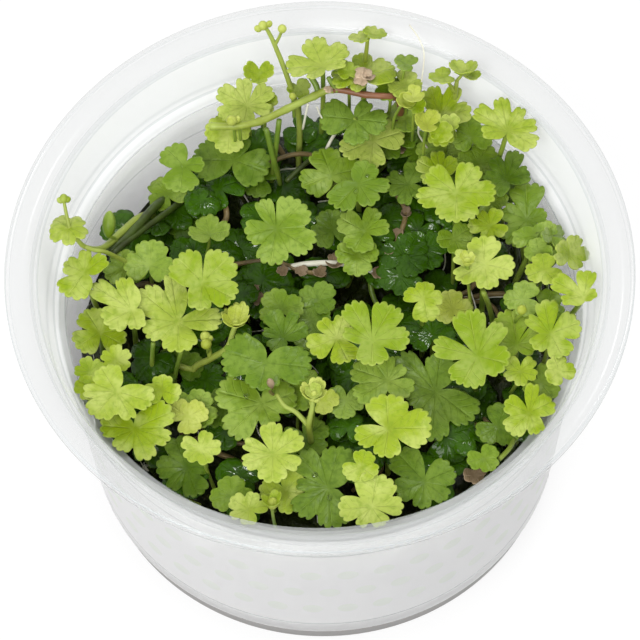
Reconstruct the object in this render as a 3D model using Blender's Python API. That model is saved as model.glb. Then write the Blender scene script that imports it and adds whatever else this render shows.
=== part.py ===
"""Three-lobed pennywort growing in a clear plastic cup with a wide flat rim.

Lengths in the tables are millimetres and angles are degrees. The cup stands on z = 0, centred on the
Z axis, and its front faces -Y. Every object is built in metres.
"""

import math
from typing import NamedTuple

import bmesh
import bpy
import numpy as np

MM = 0.001

# Cup: a tapered tub, a stacking step near the top, and a wide flat rim.
CUP_HEIGHT = 58.7
RIM_RADIUS = 50.0
BASE_RADIUS = 39.0
STEP_HEIGHT = 47.2
CUP_SIDES = 40
CUP_PROFILE = (
    (BASE_RADIUS - 0.8, 0.0),
    (BASE_RADIUS, 0.8),
    (41.9, 46.6),
    (43.9, 47.8),
    (45.6, 55.6),
    (49.2, 57.3),
    (49.4, 56.9),
    (RIM_RADIUS, 57.1),
    (RIM_RADIUS, 58.3),
    (49.6, CUP_HEIGHT),
    (45.1, 56.8),
    (44.8, 56.3),
    (43.1, 48.3),
    (42.8, 48.0),
    (41.1, STEP_HEIGHT),
    (38.4, 2.0),
    (37.7, 1.1),
)

# Inner wall, from the floor up: height and radius.
INNER_WALL = ((1.1, 37.7), (2.0, 38.4), (STEP_HEIGHT, 41.1), (48.0, 42.8), (56.3, 44.8), (60.0, 46.5))

# Label: one thin film round the side, between two heights.
LABEL_BOTTOM = 2.9
LABEL_TOP = 45.2
LABEL_THICKNESS = 0.3

# Gap that stands for touching, between neighbouring solids.
GAP = 0.3

GEL_TOP = 14.0
MAT_TOP = 34.5
MAT_SIDES = 28
MAT_RINGS = (0.0, 0.16, 0.32, 0.48, 0.64, 0.8, 0.92, 1.0)
# The mat's border lies lower than its middle by this much.
MAT_SHOULDER = 1.5

BLADE = 0.5
STALK_RADIUS = 0.55
STALK_TOP_RADIUS = 0.35
STALK_SIDES = 4
STALK_STEPS = (0.0, 0.4, 1.0)
# A stalk's foot: how far out on the mat, how far above it, and how soon the stalk may bend aside.
FOOT_REACH = 36.5
FOOT_GAP = 0.8
BENDS = (0.5, 0.3, 0.15, 0.06)
# Clear room that a stalk keeps from a blade's edge, from its two sides, and from other stems.
EDGE_ROOM = 0.95
ABOVE_ROOM = 1.0
BELOW_ROOM = 1.3
STEM_ROOM = 1.45
CENTRE_DIP = 0.07
# A lobe's edge stands this share of the leaf's reach above its cuts.
LOBE_FOLD = 0.07

# One lobe's edge: place across the lobe from -1 to 1, and share of the lobe's reach.
BROAD_LOBE = ((-1.0, 0.78), (-0.5, 1.0), (0.0, 0.95), (0.5, 1.0), (1.0, 0.78))
NARROW_LOBE = ((-1.0, 0.84), (0.0, 1.0), (1.0, 0.84))
BROAD = 25
# A lobe's shoulders stand this many degrees inside its half width, so that each cut stays open.
SLIT = 4
# Depth of a cut as a share of the smaller lobe beside it, and the gap in degrees from which it is wide.
CUT = 0.52
WIDE_CUT = 0.36
WIDE_GAP = 20
SINUS = 0.85

# A leaf's blade hangs on its stalk at a point near its middle, and its lobes reach out from there. They are
# listed anticlockwise from the deep cut at the stalk, each by its direction from +X, its reach and half its
# width, as they look from above the front, where a point 1 mm higher looks SEEN_RISE mm further back.
SEEN_RISE = 0.54


class Leaf(NamedTuple):
    """Place of the blade's middle, lean and its direction, rise of the margin as a share, tone and lobes."""

    name: str
    x: float
    y: float
    z: float
    lean: float
    toward: float
    rise: float
    tone: str
    lobes: tuple


LEAVES = (
    Leaf("leaf_01", -11.0, 33.4, 53.5, 6, -90, 0.08, "bright", (
        (98, 4.9, 20), (150, 5.4, 28), (204, 5.2, 22), (262, 3.6, 30), (340, 4.2, 22), (35, 5.0, 27),
    )),
    Leaf("leaf_02", 1.6, 36.7, 60.0, 18, 90, 0.05, "bright", (
        (0, 3.8, 12), (38, 5.0, 26), (110, 5.1, 28), (188, 6.0, 26), (231, 3.8, 16),
    )),
    Leaf("leaf_03", -13.6, 27.8, 45.5, 8, -90, -0.1, "dark", (
        (335, 6.2, 46), (75, 4.8, 28), (178, 6.9, 42),
    )),
    Leaf("leaf_04", -21.8, 24.4, 50.0, 12, 200, -0.05, "mid", (
        (128, 4.4, 44), (262, 5.2, 44), (0, 3.5, 30),
    )),
    Leaf("leaf_05", -20.2, 20.0, 39.5, 6, -90, -0.2, "dark", (
        (12, 3.4, 42), (94, 4.0, 36), (196, 4.8, 46),
    )),
    Leaf("leaf_06", -37.6, 3.0, 53.5, 6, -90, 0.05, "bright", (
        (38, 4.3, 26), (86, 3.9, 20), (155, 3.6, 34), (238, 5.4, 38),
    )),
    Leaf("leaf_07", -30.3, -2.3, 50.3, 5, -90, 0.08, "bright", (
        (106, 5.8, 18), (144, 7.6, 20), (212, 5.1, 42), (285, 4.0, 26),
    )),
    Leaf("leaf_08", -35.7, -3.6, 45.3, 0, 0, 0.05, "mid", (
        (325, 4.7, 33), (35, 4.2, 30), (120, 4.6, 38), (218, 4.8, 38),
    )),
    Leaf("leaf_09", -18.8, 1.05, 52.5, 4, -90, 0.05, "bright", (
        (131, 6.1, 38), (266, 5.5, 25), (326, 6.2, 33), (43, 6.3, 38),
    )),
    Leaf("leaf_10", -23.0, -3.7, 48.5, 5, -120, 0.04, "bright", (
        (96, 8.6, 13), (138, 8.0, 27), (205, 5.9, 24), (272, 5.9, 36), (358, 7.2, 17),
    )),
    Leaf("leaf_11", -6.2, -6.75, 47.5, 10, -90, 0.12, "dark", (
        (20, 4.3, 24), (64, 4.8, 18), (112, 5.0, 28), (160, 3.4, 18), (235, 3.2, 35),
    )),
    Leaf("leaf_12", -9.1, -13.1, 51.0, 6, -90, -0.08, "dark", (
        (160, 7.0, 42), (262, 5.0, 42), (352, 7.4, 34),
    )),
    Leaf("leaf_13", -9.8, -17.9, 46.5, 4, -90, 0.0, "mid", (
        (163, 7.6, 26), (226, 7.7, 26), (290, 4.5, 28), (15, 5.6, 45),
    )),
    Leaf("leaf_14", 2.4, -8.4, 49.8, 6, -90, 0.08, "bright", (
        (290, 5.2, 32), (12, 4.0, 24), (70, 4.0, 26), (128, 4.0, 22), (206, 5.1, 32),
    )),
    Leaf("leaf_15", 8.0, -10.8, 53.3, 4, -90, 0.06, "bright", (
        (118, 7.2, 22), (163, 4.8, 15), (268, 4.8, 38), (0, 5.9, 26), (60, 7.0, 28),
    )),
    Leaf("leaf_16", 16.3, -4.6, 55.0, 10, -90, -0.35, "bright", (
        (282, 3.9, 45), (5, 3.2, 34), (80, 3.4, 36), (155, 3.3, 32),
    )),
    Leaf("leaf_17", 24.5, -14.0, 53.0, 6, -90, 0.05, "bright", (
        (166, 7.2, 16), (244, 6.2, 34), (338, 5.2, 40), (54, 6.8, 17), (97, 8.0, 24),
    )),
    Leaf("leaf_18", 22.5, 14.4, 55.5, 4, -90, 0.04, "bright", (
        (140, 6.0, 24), (190, 6.6, 24), (267, 6.0, 46), (356, 6.3, 30), (56, 5.7, 27),
    )),
    Leaf("leaf_19", 20.2, 21.5, 50.0, 8, 90, 0.04, "mid", (
        (40, 3.6, 28), (95, 3.9, 25), (150, 4.2, 28), (215, 3.5, 28),
    )),
    Leaf("leaf_20", 14.9, 21.5, 46.5, 12, 180, -0.05, "dark", (
        (60, 4.5, 35), (150, 3.6, 25), (205, 3.6, 25), (258, 3.9, 26), (312, 3.5, 25),
    )),
    Leaf("leaf_21", 9.6, 28.5, 49.2, 4, -90, 0.05, "bright", (
        (15, 5.1, 44), (105, 4.5, 30), (206, 6.0, 26), (262, 5.7, 28),
    )),
    Leaf("leaf_22", 6.6, 29.9, 53.7, 6, -90, -0.06, "dark", (
        (172, 5.8, 42), (274, 4.9, 32), (350, 5.4, 38), (52, 4.0, 22),
    )),
    Leaf("leaf_23", 2.4, 23.8, 46.3, 6, -90, 0.05, "mid", (
        (10, 5.0, 42), (106, 5.2, 36), (206, 5.4, 38),
    )),
    Leaf("leaf_24", 6.8, 19.8, 50.3, 5, -90, 0.05, "mid", (
        (232, 6.3, 30), (296, 5.0, 30), (348, 5.2, 20), (60, 4.2, 38),
    )),
    Leaf("leaf_25", 7.6, 13.2, 46.0, 5, -90, 0.05, "mid", (
        (12, 4.1, 26), (62, 4.4, 24), (150, 4.8, 32), (246, 4.4, 44),
    )),
    Leaf("leaf_26", -6.8, 11.7, 50.5, 8, -90, 0.06, "bright", (
        (112, 5.7, 18), (196, 5.2, 33), (262, 7.0, 30), (322, 7.2, 28), (45, 6.3, 42),
    )),
    Leaf("leaf_27", 31.0, 19.0, 51.5, 16, 30, -0.05, "dark", (
        (15, 4.0, 28), (70, 5.5, 22), (116, 4.6, 22), (176, 3.9, 30), (232, 3.9, 24),
    )),
    Leaf("leaf_28", 34.0, 12.7, 49.3, 8, 20, -0.05, "mid", (
        (10, 3.3, 35), (88, 6.8, 32), (158, 4.4, 32), (232, 5.8, 32), (300, 4.5, 25),
    )),
    Leaf("leaf_29", 35.3, 8.1, 52.0, 6, 0, 0.0, "mid", (
        (318, 5.3, 26), (25, 3.4, 32), (198, 4.3, 28), (240, 3.8, 14),
    )),
    Leaf("leaf_30", 27.8, 10.1, 51.8, 5, -90, 0.05, "bright", (
        (68, 3.3, 28), (124, 3.0, 24), (182, 3.7, 30), (250, 2.6, 34), (325, 3.0, 30),
    )),
    Leaf("leaf_31", 26.3, 1.3, 55.0, 5, -90, 0.05, "bright", (
        (90, 4.9, 42), (162, 5.1, 20), (212, 5.5, 24), (276, 4.9, 28), (343, 4.9, 34),
    )),
    Leaf("leaf_32", 41.7, -5.9, 56.5, 5, -90, 0.05, "bright", (
        (18, 2.1, 34), (78, 4.6, 26), (150, 5.7, 22), (193, 3.8, 16),
    )),
    Leaf("leaf_33", 36.2, -10.8, 53.5, 5, -90, 0.05, "bright", (
        (97, 5.8, 22), (141, 4.6, 16), (226, 4.0, 28), (292, 4.9, 32), (20, 5.0, 34),
    )),
    Leaf("leaf_34", 31.0, -10.6, 50.0, 5, -90, 0.05, "mid", (
        (95, 6.0, 38), (172, 4.2, 22), (228, 3.0, 24), (330, 3.2, 26), (33, 4.4, 22),
    )),
    Leaf("leaf_35", 32.3, -22.9, 50.0, 5, -90, 0.05, "bright", (
        (155, 4.2, 28), (228, 5.0, 30), (284, 4.2, 24), (26, 4.3, 34), (78, 5.0, 16),
    )),
    Leaf("leaf_36", 17.9, -16.4, 45.8, 5, -90, -0.05, "dark", (
        (80, 6.5, 30), (130, 8.8, 20), (200, 5.0, 32), (262, 8.8, 26), (316, 8.0, 26),
    )),
    Leaf("leaf_37", 10.3, -15.3, 47.8, 4, -90, 0.0, "mid", (
        (42, 3.6, 20), (90, 4.3, 24), (157, 6.2, 28), (212, 6.2, 26), (326, 4.5, 32),
    )),
    Leaf("leaf_38", 10.0, -25.3, 51.0, 5, -90, 0.04, "bright", (
        (206, 5.6, 26), (262, 5.4, 30), (356, 6.8, 38), (90, 5.8, 44),
    )),
    Leaf("leaf_39", -8.2, -29.1, 50.8, 4, -90, 0.04, "bright", (
        (160, 4.9, 18), (202, 5.1, 24), (268, 5.2, 36), (326, 4.8, 20), (36, 5.4, 28), (90, 5.4, 24),
    )),
    Leaf("leaf_40", -22.2, -26.7, 42.0, 4, -90, -0.05, "dark", (
        (107, 5.6, 30), (178, 4.8, 34), (236, 4.6, 22), (290, 5.5, 30), (0, 3.5, 30),
    )),
    Leaf("leaf_41", -32.7, -17.8, 52.0, 4, -90, 0.05, "bright", (
        (118, 4.8, 38), (180, 5.2, 20), (232, 5.9, 30), (296, 5.8, 16), (338, 6.3, 24),
    )),
    Leaf("leaf_42", -30.0, -22.8, 48.8, 5, -90, 0.04, "bright", (
        (176, 5.4, 30), (238, 4.8, 26), (291, 6.2, 22), (336, 6.2, 20), (22, 6.7, 24),
    )),
    Leaf("leaf_43", 8.3, 35.3, 58.0, 27, 90, 0.0, "mid", (
        (20, 5.4, 38), (92, 4.6, 28), (172, 5.4, 40), (236, 3.4, 20),
    )),
    Leaf("leaf_44", 20.4, 28.8, 55.0, 5, -90, 0.04, "mid", (
        (212, 3.8, 22), (268, 5.5, 28), (15, 5.3, 26), (62, 6.3, 18), (102, 6.0, 20),
    )),
    Leaf("leaf_45", 31.2, 24.75, 57.5, 10, 60, 0.05, "bright", (
        (318, 5.7, 24), (5, 4.8, 20), (56, 4.6, 14), (98, 5.7, 16), (148, 6.3, 18), (190, 4.4, 20),
    )),
    Leaf("leaf_46", 0.2, -33.1, 46.5, 4, -90, -0.06, "dark", (
        (72, 7.4, 28), (126, 7.8, 24), (172, 5.0, 18), (222, 6.8, 26), (274, 7.2, 24),
    )),
    Leaf("leaf_47", 6.9, -38.0, 49.2, 4, -90, 0.05, "bright", (
        (356, 5.0, 24), (76, 5.7, 44), (188, 5.2, 30), (238, 4.0, 16), (298, 3.9, 26),
    )),
    Leaf("leaf_48", 15.4, -32.2, 45.5, 4, -90, -0.03, "dark", (
        (128, 6.7, 28), (204, 5.0, 30), (262, 4.8, 24), (316, 4.8, 24), (24, 5.2, 36),
    )),
    Leaf("leaf_49", -12.2, -37.4, 48.4, 4, -90, 0.03, "bright", (
        (10, 3.0, 26), (72, 2.9, 32), (145, 3.4, 36), (205, 3.2, 20), (265, 2.9, 34),
    )),
)

# Runner: the thick creeping stem across the back. It turns down to the mat at its dead right end.
RUNNER_RADIUS = 0.65
RUNNER = (
    (-17.0, 28.4, 55.2),
    (-13.0, 27.8, 56.0),
    (-9.0, 28.4, 56.2),
    (-4.5, 30.6, 56.2),
    (0.0, 32.8, 56.4),
    (3.2, 33.6, 57.0),
    (8.5, 32.1, 57.4),
    (12.4, 31.8, 57.0),
    (14.1, 32.6, 53.5),
    (13.9, 32.2, 46.0),
    (13.6, 31.0, 37.2),
)

# Sprigs: name, then the stem's points with the stem's radius at each. A bud or a young leaf is the wide end.
SPRIGS = (
    (
        "sprig_back_left",
        (-3.0, 31.0, 36.6, 0.5),
        (-2.6, 33.0, 49.0, 0.55),
        (-4.2, 36.5, 57.0, 0.5),
        (-6.0, 40.3, 62.0, 0.45),
        (-7.4, 42.0, 64.8, 0.4),
        (-7.8, 42.3, 65.8, 0.95),
        (-8.0, 42.5, 66.8, 0.7),
    ),
    (
        "sprig_back",
        (8.0, 36.0, 36.6, 0.45),
        (8.3, 38.4, 46.0, 0.45),
        (8.6, 41.6, 52.0, 0.45),
        (8.9, 42.4, 59.0, 0.4),
        (9.0, 42.4, 60.4, 1.5),
        (9.0, 42.4, 61.6, 1.3),
    ),
    (
        "sprig_back_right",
        (22.0, 29.5, 36.6, 0.45),
        (23.2, 31.8, 46.0, 0.45),
        (24.2, 33.6, 52.0, 0.45),
        (24.4, 34.4, 59.0, 0.4),
        (24.4, 34.7, 60.4, 1.9),
        (24.4, 35.0, 61.6, 1.5),
    ),
    (
        "sprig_left",
        (-26.5, 23.0, 37.0, 0.6),
        (-29.0, 18.6, 43.6, 0.6),
        (-32.0, 14.0, 46.8, 0.6),
        (-35.4, 10.8, 49.6, 0.5),
        (-38.4, 9.8, 55.4, 0.4),
        (-39.7, 9.2, 58.0, 0.4),
        (-40.2, 8.8, 59.2, 2.4),
        (-40.3, 8.7, 60.0, 2.0),
    ),
    (
        "sprig_middle",
        (-21.3, -11.5, 36.8, 0.55),
        (-20.9, -8.9, 41.0, 0.55),
        (-18.0, -8.2, 43.4, 0.55),
        (-15.2, -7.9, 46.4, 0.55),
        (-14.2, -6.6, 49.0, 0.5),
        (-13.6, -5.8, 50.6, 2.2),
        (-13.4, -5.4, 51.6, 1.4),
    ),
    (
        "sprig_front",
        (-2.0, -22.0, 36.6, 0.55),
        (-2.3, -23.6, 45.0, 0.55),
        (-2.5, -23.8, 49.4, 0.55),
        (-1.8, -21.8, 52.6, 0.45),
        (-1.6, -21.0, 53.6, 1.3),
        (-1.4, -20.4, 54.8, 1.0),
    ),
)
# Stretches of a smooth stem between two given points, and its sides.
STEM_STEPS = 2
STEM_SIDES = 5


def clear_scene():
    for obj in list(bpy.data.objects):
        bpy.data.objects.remove(obj)


def finish(name, colour, roughness, alpha=1.0):
    """A Principled material of one colour."""
    made = bpy.data.materials.new(name)
    made.use_nodes = True
    shader = made.node_tree.nodes["Principled BSDF"]
    shader.inputs["Base Color"].default_value = (*colour, 1.0)
    shader.inputs["Roughness"].default_value = roughness
    shader.inputs["Metallic"].default_value = 0.0
    shader.inputs["Alpha"].default_value = alpha
    return made


def add_solid(name, points, faces, material):
    """A mesh object from points in millimetres."""
    mesh = bpy.data.meshes.new(name)
    mesh.from_pydata([tuple(float(v) * MM for v in point) for point in points], [], faces)
    mesh.materials.append(material)
    mesh.shade_smooth()
    mesh.set_sharp_from_angle(angle=math.radians(35))
    obj = bpy.data.objects.new(name, mesh)
    bpy.context.scene.collection.objects.link(obj)
    return obj


def turned(name, profile, material, sides=CUP_SIDES):
    """A solid of revolution. The profile runs from the axis out along the bottom, up the outside and in."""
    points = [(0.0, 0.0, profile[0][1])]
    faces = []
    for radius, z in profile:
        for i in range(sides):
            angle = 2 * math.pi * i / sides
            points.append((radius * math.cos(angle), radius * math.sin(angle), z))
    points.append((0.0, 0.0, profile[-1][1]))
    top = len(points) - 1
    last = len(profile) - 1
    for i in range(sides):
        j = (i + 1) % sides
        faces.append((0, 1 + j, 1 + i))
        for ring in range(last):
            low = 1 + ring * sides
            faces.append((low + i, low + j, low + sides + j, low + sides + i))
        faces.append((top, 1 + last * sides + i, 1 + last * sides + j))
    return add_solid(name, points, faces, material)


def sleeve(name, profile, material, sides=CUP_SIDES):
    """A ring-shaped solid of revolution from a closed profile, run anticlockwise in the r-z plane."""
    points = []
    faces = []
    for radius, z in profile:
        for i in range(sides):
            angle = 2 * math.pi * i / sides
            points.append((radius * math.cos(angle), radius * math.sin(angle), z))
    rings = len(profile)
    for ring in range(rings):
        low = ring * sides
        high = (ring + 1) % rings * sides
        for i in range(sides):
            j = (i + 1) % sides
            faces.append((low + i, low + j, high + j, high + i))
    return add_solid(name, points, faces, material)


def inner_radius(z):
    """Radius of the cup's inner wall at a height."""
    heights = [height for height, _ in INNER_WALL]
    radii = [radius for _, radius in INNER_WALL]
    return float(np.interp(z, heights, radii))


def outer_radius(z):
    """Radius of the cup's side below the step."""
    return BASE_RADIUS + (41.9 - BASE_RADIUS) * (z - 0.8) / (46.6 - 0.8)


def mat_point(ring, side):
    """A corner of the mat's top, which rises and falls in low lumps."""
    share = MAT_RINGS[ring]
    radius = share * (inner_radius(MAT_TOP) - 2 * GAP)
    angle = 2 * math.pi * side / MAT_SIDES
    x = radius * math.cos(angle)
    y = radius * math.sin(angle)
    rolls = 1.4 * math.sin(0.33 * x + 1.0) * math.cos(0.29 * y)
    knots = 0.6 * math.sin(0.71 * x - 0.48 * y)
    shoulder = MAT_SHOULDER if share == 1.0 else 0.0
    return x, y, MAT_TOP + rolls + knots - shoulder


def mat_height(x, y):
    """Height of the mat's top, between the four corners around a place on it."""
    place = math.hypot(x, y) / (inner_radius(MAT_TOP) - 2 * GAP)
    turn = math.atan2(y, x) % (2 * math.pi) / (2 * math.pi) * MAT_SIDES
    ring = sum(share <= place for share in MAT_RINGS) - 1
    side = int(turn)
    out = (place - MAT_RINGS[ring]) / (MAT_RINGS[ring + 1] - MAT_RINGS[ring])
    low, high = (
        (1 - out) * mat_point(ring, n)[2] + out * mat_point(ring + 1, n)[2] for n in (side, side + 1)
    )
    return low + (turn - side) * (high - low)


def make_mat(material):
    """The tangle of creeping stems and roots that fills the cup from the gel to below the leaves."""
    low = GEL_TOP + GAP
    low_radius = inner_radius(low) - GAP - 0.1
    points = [(0.0, 0.0, low)]
    faces = []
    for side in range(MAT_SIDES):
        angle = 2 * math.pi * side / MAT_SIDES
        points.append((low_radius * math.cos(angle), low_radius * math.sin(angle), low))
    for ring in range(len(MAT_RINGS) - 1, 0, -1):
        points += [mat_point(ring, side) for side in range(MAT_SIDES)]
    points.append(mat_point(0, 0))
    top = len(points) - 1
    last = len(MAT_RINGS) - 1
    for i in range(MAT_SIDES):
        j = (i + 1) % MAT_SIDES
        faces.append((0, 1 + j, 1 + i))
        for row in range(last):
            ring = 1 + row * MAT_SIDES
            faces.append((ring + i, ring + j, ring + MAT_SIDES + j, ring + MAT_SIDES + i))
        faces.append((top, 1 + last * MAT_SIDES + i, 1 + last * MAT_SIDES + j))
    return add_solid("root_mat", points, faces, material)


def blade_slope(leaf):
    """The normal of a leaf's blade, and how fast the blade rises along X and along Y."""
    lean, toward = np.radians([leaf.lean, leaf.toward])
    normal = np.array([np.sin(lean) * np.cos(toward), np.sin(lean) * np.sin(toward), np.cos(lean)])
    return normal, -normal[0] / normal[2], -normal[1] / normal[2]


def leaf_outline(leaf):
    """Angles, radii and folds of a leaf's edge, anticlockwise from the deep cut at its stalk."""
    found = []
    for (before, _, half_before), (at, reach, half) in zip((leaf.lobes[-1], *leaf.lobes), leaf.lobes):
        start = at - half
        gap = (start - before - half_before) % 360
        edge = BROAD_LOBE if half >= BROAD else NARROW_LOBE
        found.append((start - gap / 2, gap, 0.0))
        found += [(at + place * (half - SLIT), share * reach, 1.0) for place, share in edge]
    reaches = [reach for _, reach, _ in leaf.lobes]
    cuts = [n for n, (_, _, fold) in enumerate(found) if fold == 0.0]
    for n, cut in enumerate(cuts):
        angle, gap, fold = found[cut]
        depth = WIDE_CUT if gap > WIDE_GAP else CUT
        found[cut] = (angle, SINUS if n == 0 else depth * min(reaches[n - 1], reaches[n]), fold)
    angles, radii, folds = np.array(found).T
    return np.unwrap(np.radians(angles)), radii, folds


def stalk_path(leaf, foot, bend, places):
    """Points of a leaf stalk: it leaves the blade square to it, and bends over to its foot."""
    start = np.array([leaf.x, leaf.y, leaf.z])
    knee = start - blade_slope(leaf)[0] * bend * (leaf.z - foot[2])
    t = np.asarray(places)[:, None]
    return (1 - t) ** 2 * start + 2 * t * (1 - t) * knee + t**2 * foot


def hits_blade(points, leaf):
    """Whether any of the points comes too near a leaf's blade. Its cuts count as open."""
    normal = blade_slope(leaf)[0]
    angles, radii, _ = leaf_outline(leaf)
    size = radii.max()
    local = points - np.array([leaf.x, leaf.y, leaf.z])
    height = local @ normal
    flat = local - height[:, None] * normal
    height = height - leaf.rise * (flat**2).sum(axis=1) / size
    level = (height > -BELOW_ROOM) & (height < ABOVE_ROOM)
    across = flat[:, 0]
    back = flat[:, 1] + SEEN_RISE * flat[:, 2]
    for shift, slide in ((0, 0), (EDGE_ROOM, 0), (-EDGE_ROOM, 0), (0, EDGE_ROOM), (0, -EDGE_ROOM)):
        turn = np.arctan2(back + slide, across + shift)
        edge = np.interp(turn, angles, radii, period=2 * math.pi)
        if (level & (np.hypot(across + shift, back + slide) < edge)).any():
            return True
    return False


def along_stalk(path):
    """Closely set points along the straight stretches of a stalk."""
    places = np.linspace(0.0, len(path) - 1.0, 41)
    return np.stack([np.interp(places, np.arange(len(path)), path[:, k]) for k in range(3)], axis=1)


def place_stalk(leaf, taken):
    """The nearest foot on the mat from which the stalk clears every other blade and the stems so far."""
    others = [other for other in LEAVES if other is not leaf]
    for reach in np.arange(0.0, 22.0, 1.0):
        for turn in np.arange(0.0, 360.0, 20.0):
            x = leaf.x + reach * math.cos(math.radians(turn))
            y = leaf.y + reach * math.sin(math.radians(turn))
            if math.hypot(x, y) > FOOT_REACH:
                continue
            foot = np.array([x, y, mat_height(x, y) + FOOT_GAP])
            for bend in BENDS:
                path = along_stalk(stalk_path(leaf, foot, bend, STALK_STEPS))
                wall = np.array([inner_radius(z) for z in path[:, 2]])
                if (np.hypot(path[:, 0], path[:, 1]) > wall - 1.0).any():
                    continue
                gaps = (np.linalg.norm(path[:, None] - other[None], axis=2).min() for other in taken)
                if any(gap < STEM_ROOM for gap in gaps):
                    continue
                if any(hits_blade(path, other) for other in others):
                    continue
                return foot, bend, path
    raise ValueError(f"{leaf.name} has no clear way down to the mat")


def bridge(outer, outer_angles, inner, inner_angles):
    """Triangles between two rings of unlike counts, taken in step with their angles."""
    faces = []
    i = j = 0
    n = len(outer)
    m = len(inner)
    while i < n or j < m:
        next_outer = outer_angles[i + 1] if i + 1 < n else outer_angles[0] + 2 * math.pi
        next_inner = inner_angles[j + 1] if j + 1 < m else inner_angles[0] + 2 * math.pi
        if j >= m or (i < n and next_outer <= next_inner):
            faces.append((outer[i % n], inner[j % m], outer[(i + 1) % n]))
            i += 1
        else:
            faces.append((outer[i % n], inner[j % m], inner[(j + 1) % m]))
            j += 1
    return faces


def make_leaf(leaf, foot, bend, material):
    """One leaf: a blade of rounded lobes, each raised between its cuts, and its stalk down to the mat."""
    normal, along_x, along_y = blade_slope(leaf)
    centre = np.array([leaf.x, leaf.y, leaf.z])
    angles, radii, folds = leaf_outline(leaf)
    n = len(angles)
    size = radii.max()
    across = radii * np.cos(angles)
    back = (radii * np.sin(angles) - SEEN_RISE * along_x * across) / (1 + SEEN_RISE * along_y)
    level = np.stack([across, back, along_x * across + along_y * back], axis=1)
    lift = leaf.rise * radii**2 / size + LOBE_FOLD * size * (folds - 0.5)
    edge = centre + level + lift[:, None] * normal

    middle = centre - CENTRE_DIP * size * normal
    points = [middle, *edge, *(edge - BLADE * normal)]
    upper = list(range(1, 1 + n))
    lower = list(range(1 + n, 1 + 2 * n))
    faces = []
    for i in range(n):
        j = (i + 1) % n
        faces.append((0, upper[i], upper[j]))
        faces.append((upper[i], lower[i], lower[j], upper[j]))
    path = stalk_path(leaf, foot, bend, STALK_STEPS)
    path[0] = middle - (BLADE + 0.1) * normal
    ring_angles = angles[0] + 2 * math.pi * (np.arange(STALK_SIDES) + 0.5) / STALK_SIDES
    sinus = np.array([math.cos(angles[0]), math.sin(angles[0]), 0.0])
    rings = []
    for step, place in enumerate(path):
        before = path[max(step - 1, 0)]
        after = path[min(step + 1, len(path) - 1)]
        down = (after - before) / np.linalg.norm(after - before)
        if step == 0:
            down = -normal
        if step == len(path) - 1:
            down = np.array([0.0, 0.0, -1.0])
        side = sinus - sinus.dot(down) * down
        side = side / np.linalg.norm(side)
        other = np.cross(side, down)
        ring = []
        radius = STALK_RADIUS if step else STALK_TOP_RADIUS
        for angle in ring_angles - angles[0]:
            ring.append(len(points))
            points.append(place + radius * (math.cos(angle) * side + math.sin(angle) * other))
        rings.append(ring)
    faces += bridge(lower, angles, rings[0], ring_angles)
    for above, below in zip(rings, rings[1:]):
        for i in range(STALK_SIDES):
            j = (i + 1) % STALK_SIDES
            faces.append((above[i], below[i], below[j], above[j]))
    faces.append(tuple(reversed(rings[-1])))
    make_outward(add_solid(leaf.name, points, faces, material))


def smooth_points(points):
    """A Catmull-Rom curve through rows of numbers, with STEM_STEPS stretches between two of them."""
    rows = np.array(points)
    rows = np.vstack([2 * rows[0] - rows[1], rows, 2 * rows[-1] - rows[-2]])
    found = []
    for a, b, c, d in zip(rows, rows[1:], rows[2:], rows[3:]):
        for t in np.arange(STEM_STEPS) / STEM_STEPS:
            found.append(
                0.5 * (2 * b + (c - a) * t + (2 * a - 5 * b + 4 * c - d) * t**2 + (3 * b - a - 3 * c + d) * t**3)
            )
    found.append(rows[-2])
    return np.array(found)


def make_stem(name, rows, material):
    """A stem of changing radius along a smooth curve: x, y, z and radius in each row."""
    rows = smooth_points(rows)
    centres = rows[:, :3]
    points = []
    faces = []
    side = np.array([1.0, 0.0, 0.0])
    for step, (*_, radius) in enumerate(rows):
        ahead = centres[min(step + 1, len(rows) - 1)] - centres[max(step - 1, 0)]
        ahead = ahead / np.linalg.norm(ahead)
        side = side - side.dot(ahead) * ahead
        side = side / np.linalg.norm(side)
        other = np.cross(ahead, side)
        for i in range(STEM_SIDES):
            angle = 2 * math.pi * i / STEM_SIDES
            points.append(centres[step] + radius * (math.cos(angle) * side + math.sin(angle) * other))
    for step in range(len(rows) - 1):
        low = step * STEM_SIDES
        for i in range(STEM_SIDES):
            j = (i + 1) % STEM_SIDES
            faces.append((low + i, low + j, low + STEM_SIDES + j, low + STEM_SIDES + i))
    faces.append(tuple(reversed(range(STEM_SIDES))))
    faces.append(tuple(range(len(points) - STEM_SIDES, len(points))))
    make_outward(add_solid(name, points, faces, material))
    return along_stalk(centres)


def make_outward(obj):
    """Turns every face of a closed mesh outwards."""
    mesh = bmesh.new()
    mesh.from_mesh(obj.data)
    bmesh.ops.recalc_face_normals(mesh, faces=mesh.faces)
    mesh.to_mesh(obj.data)
    mesh.free()


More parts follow.
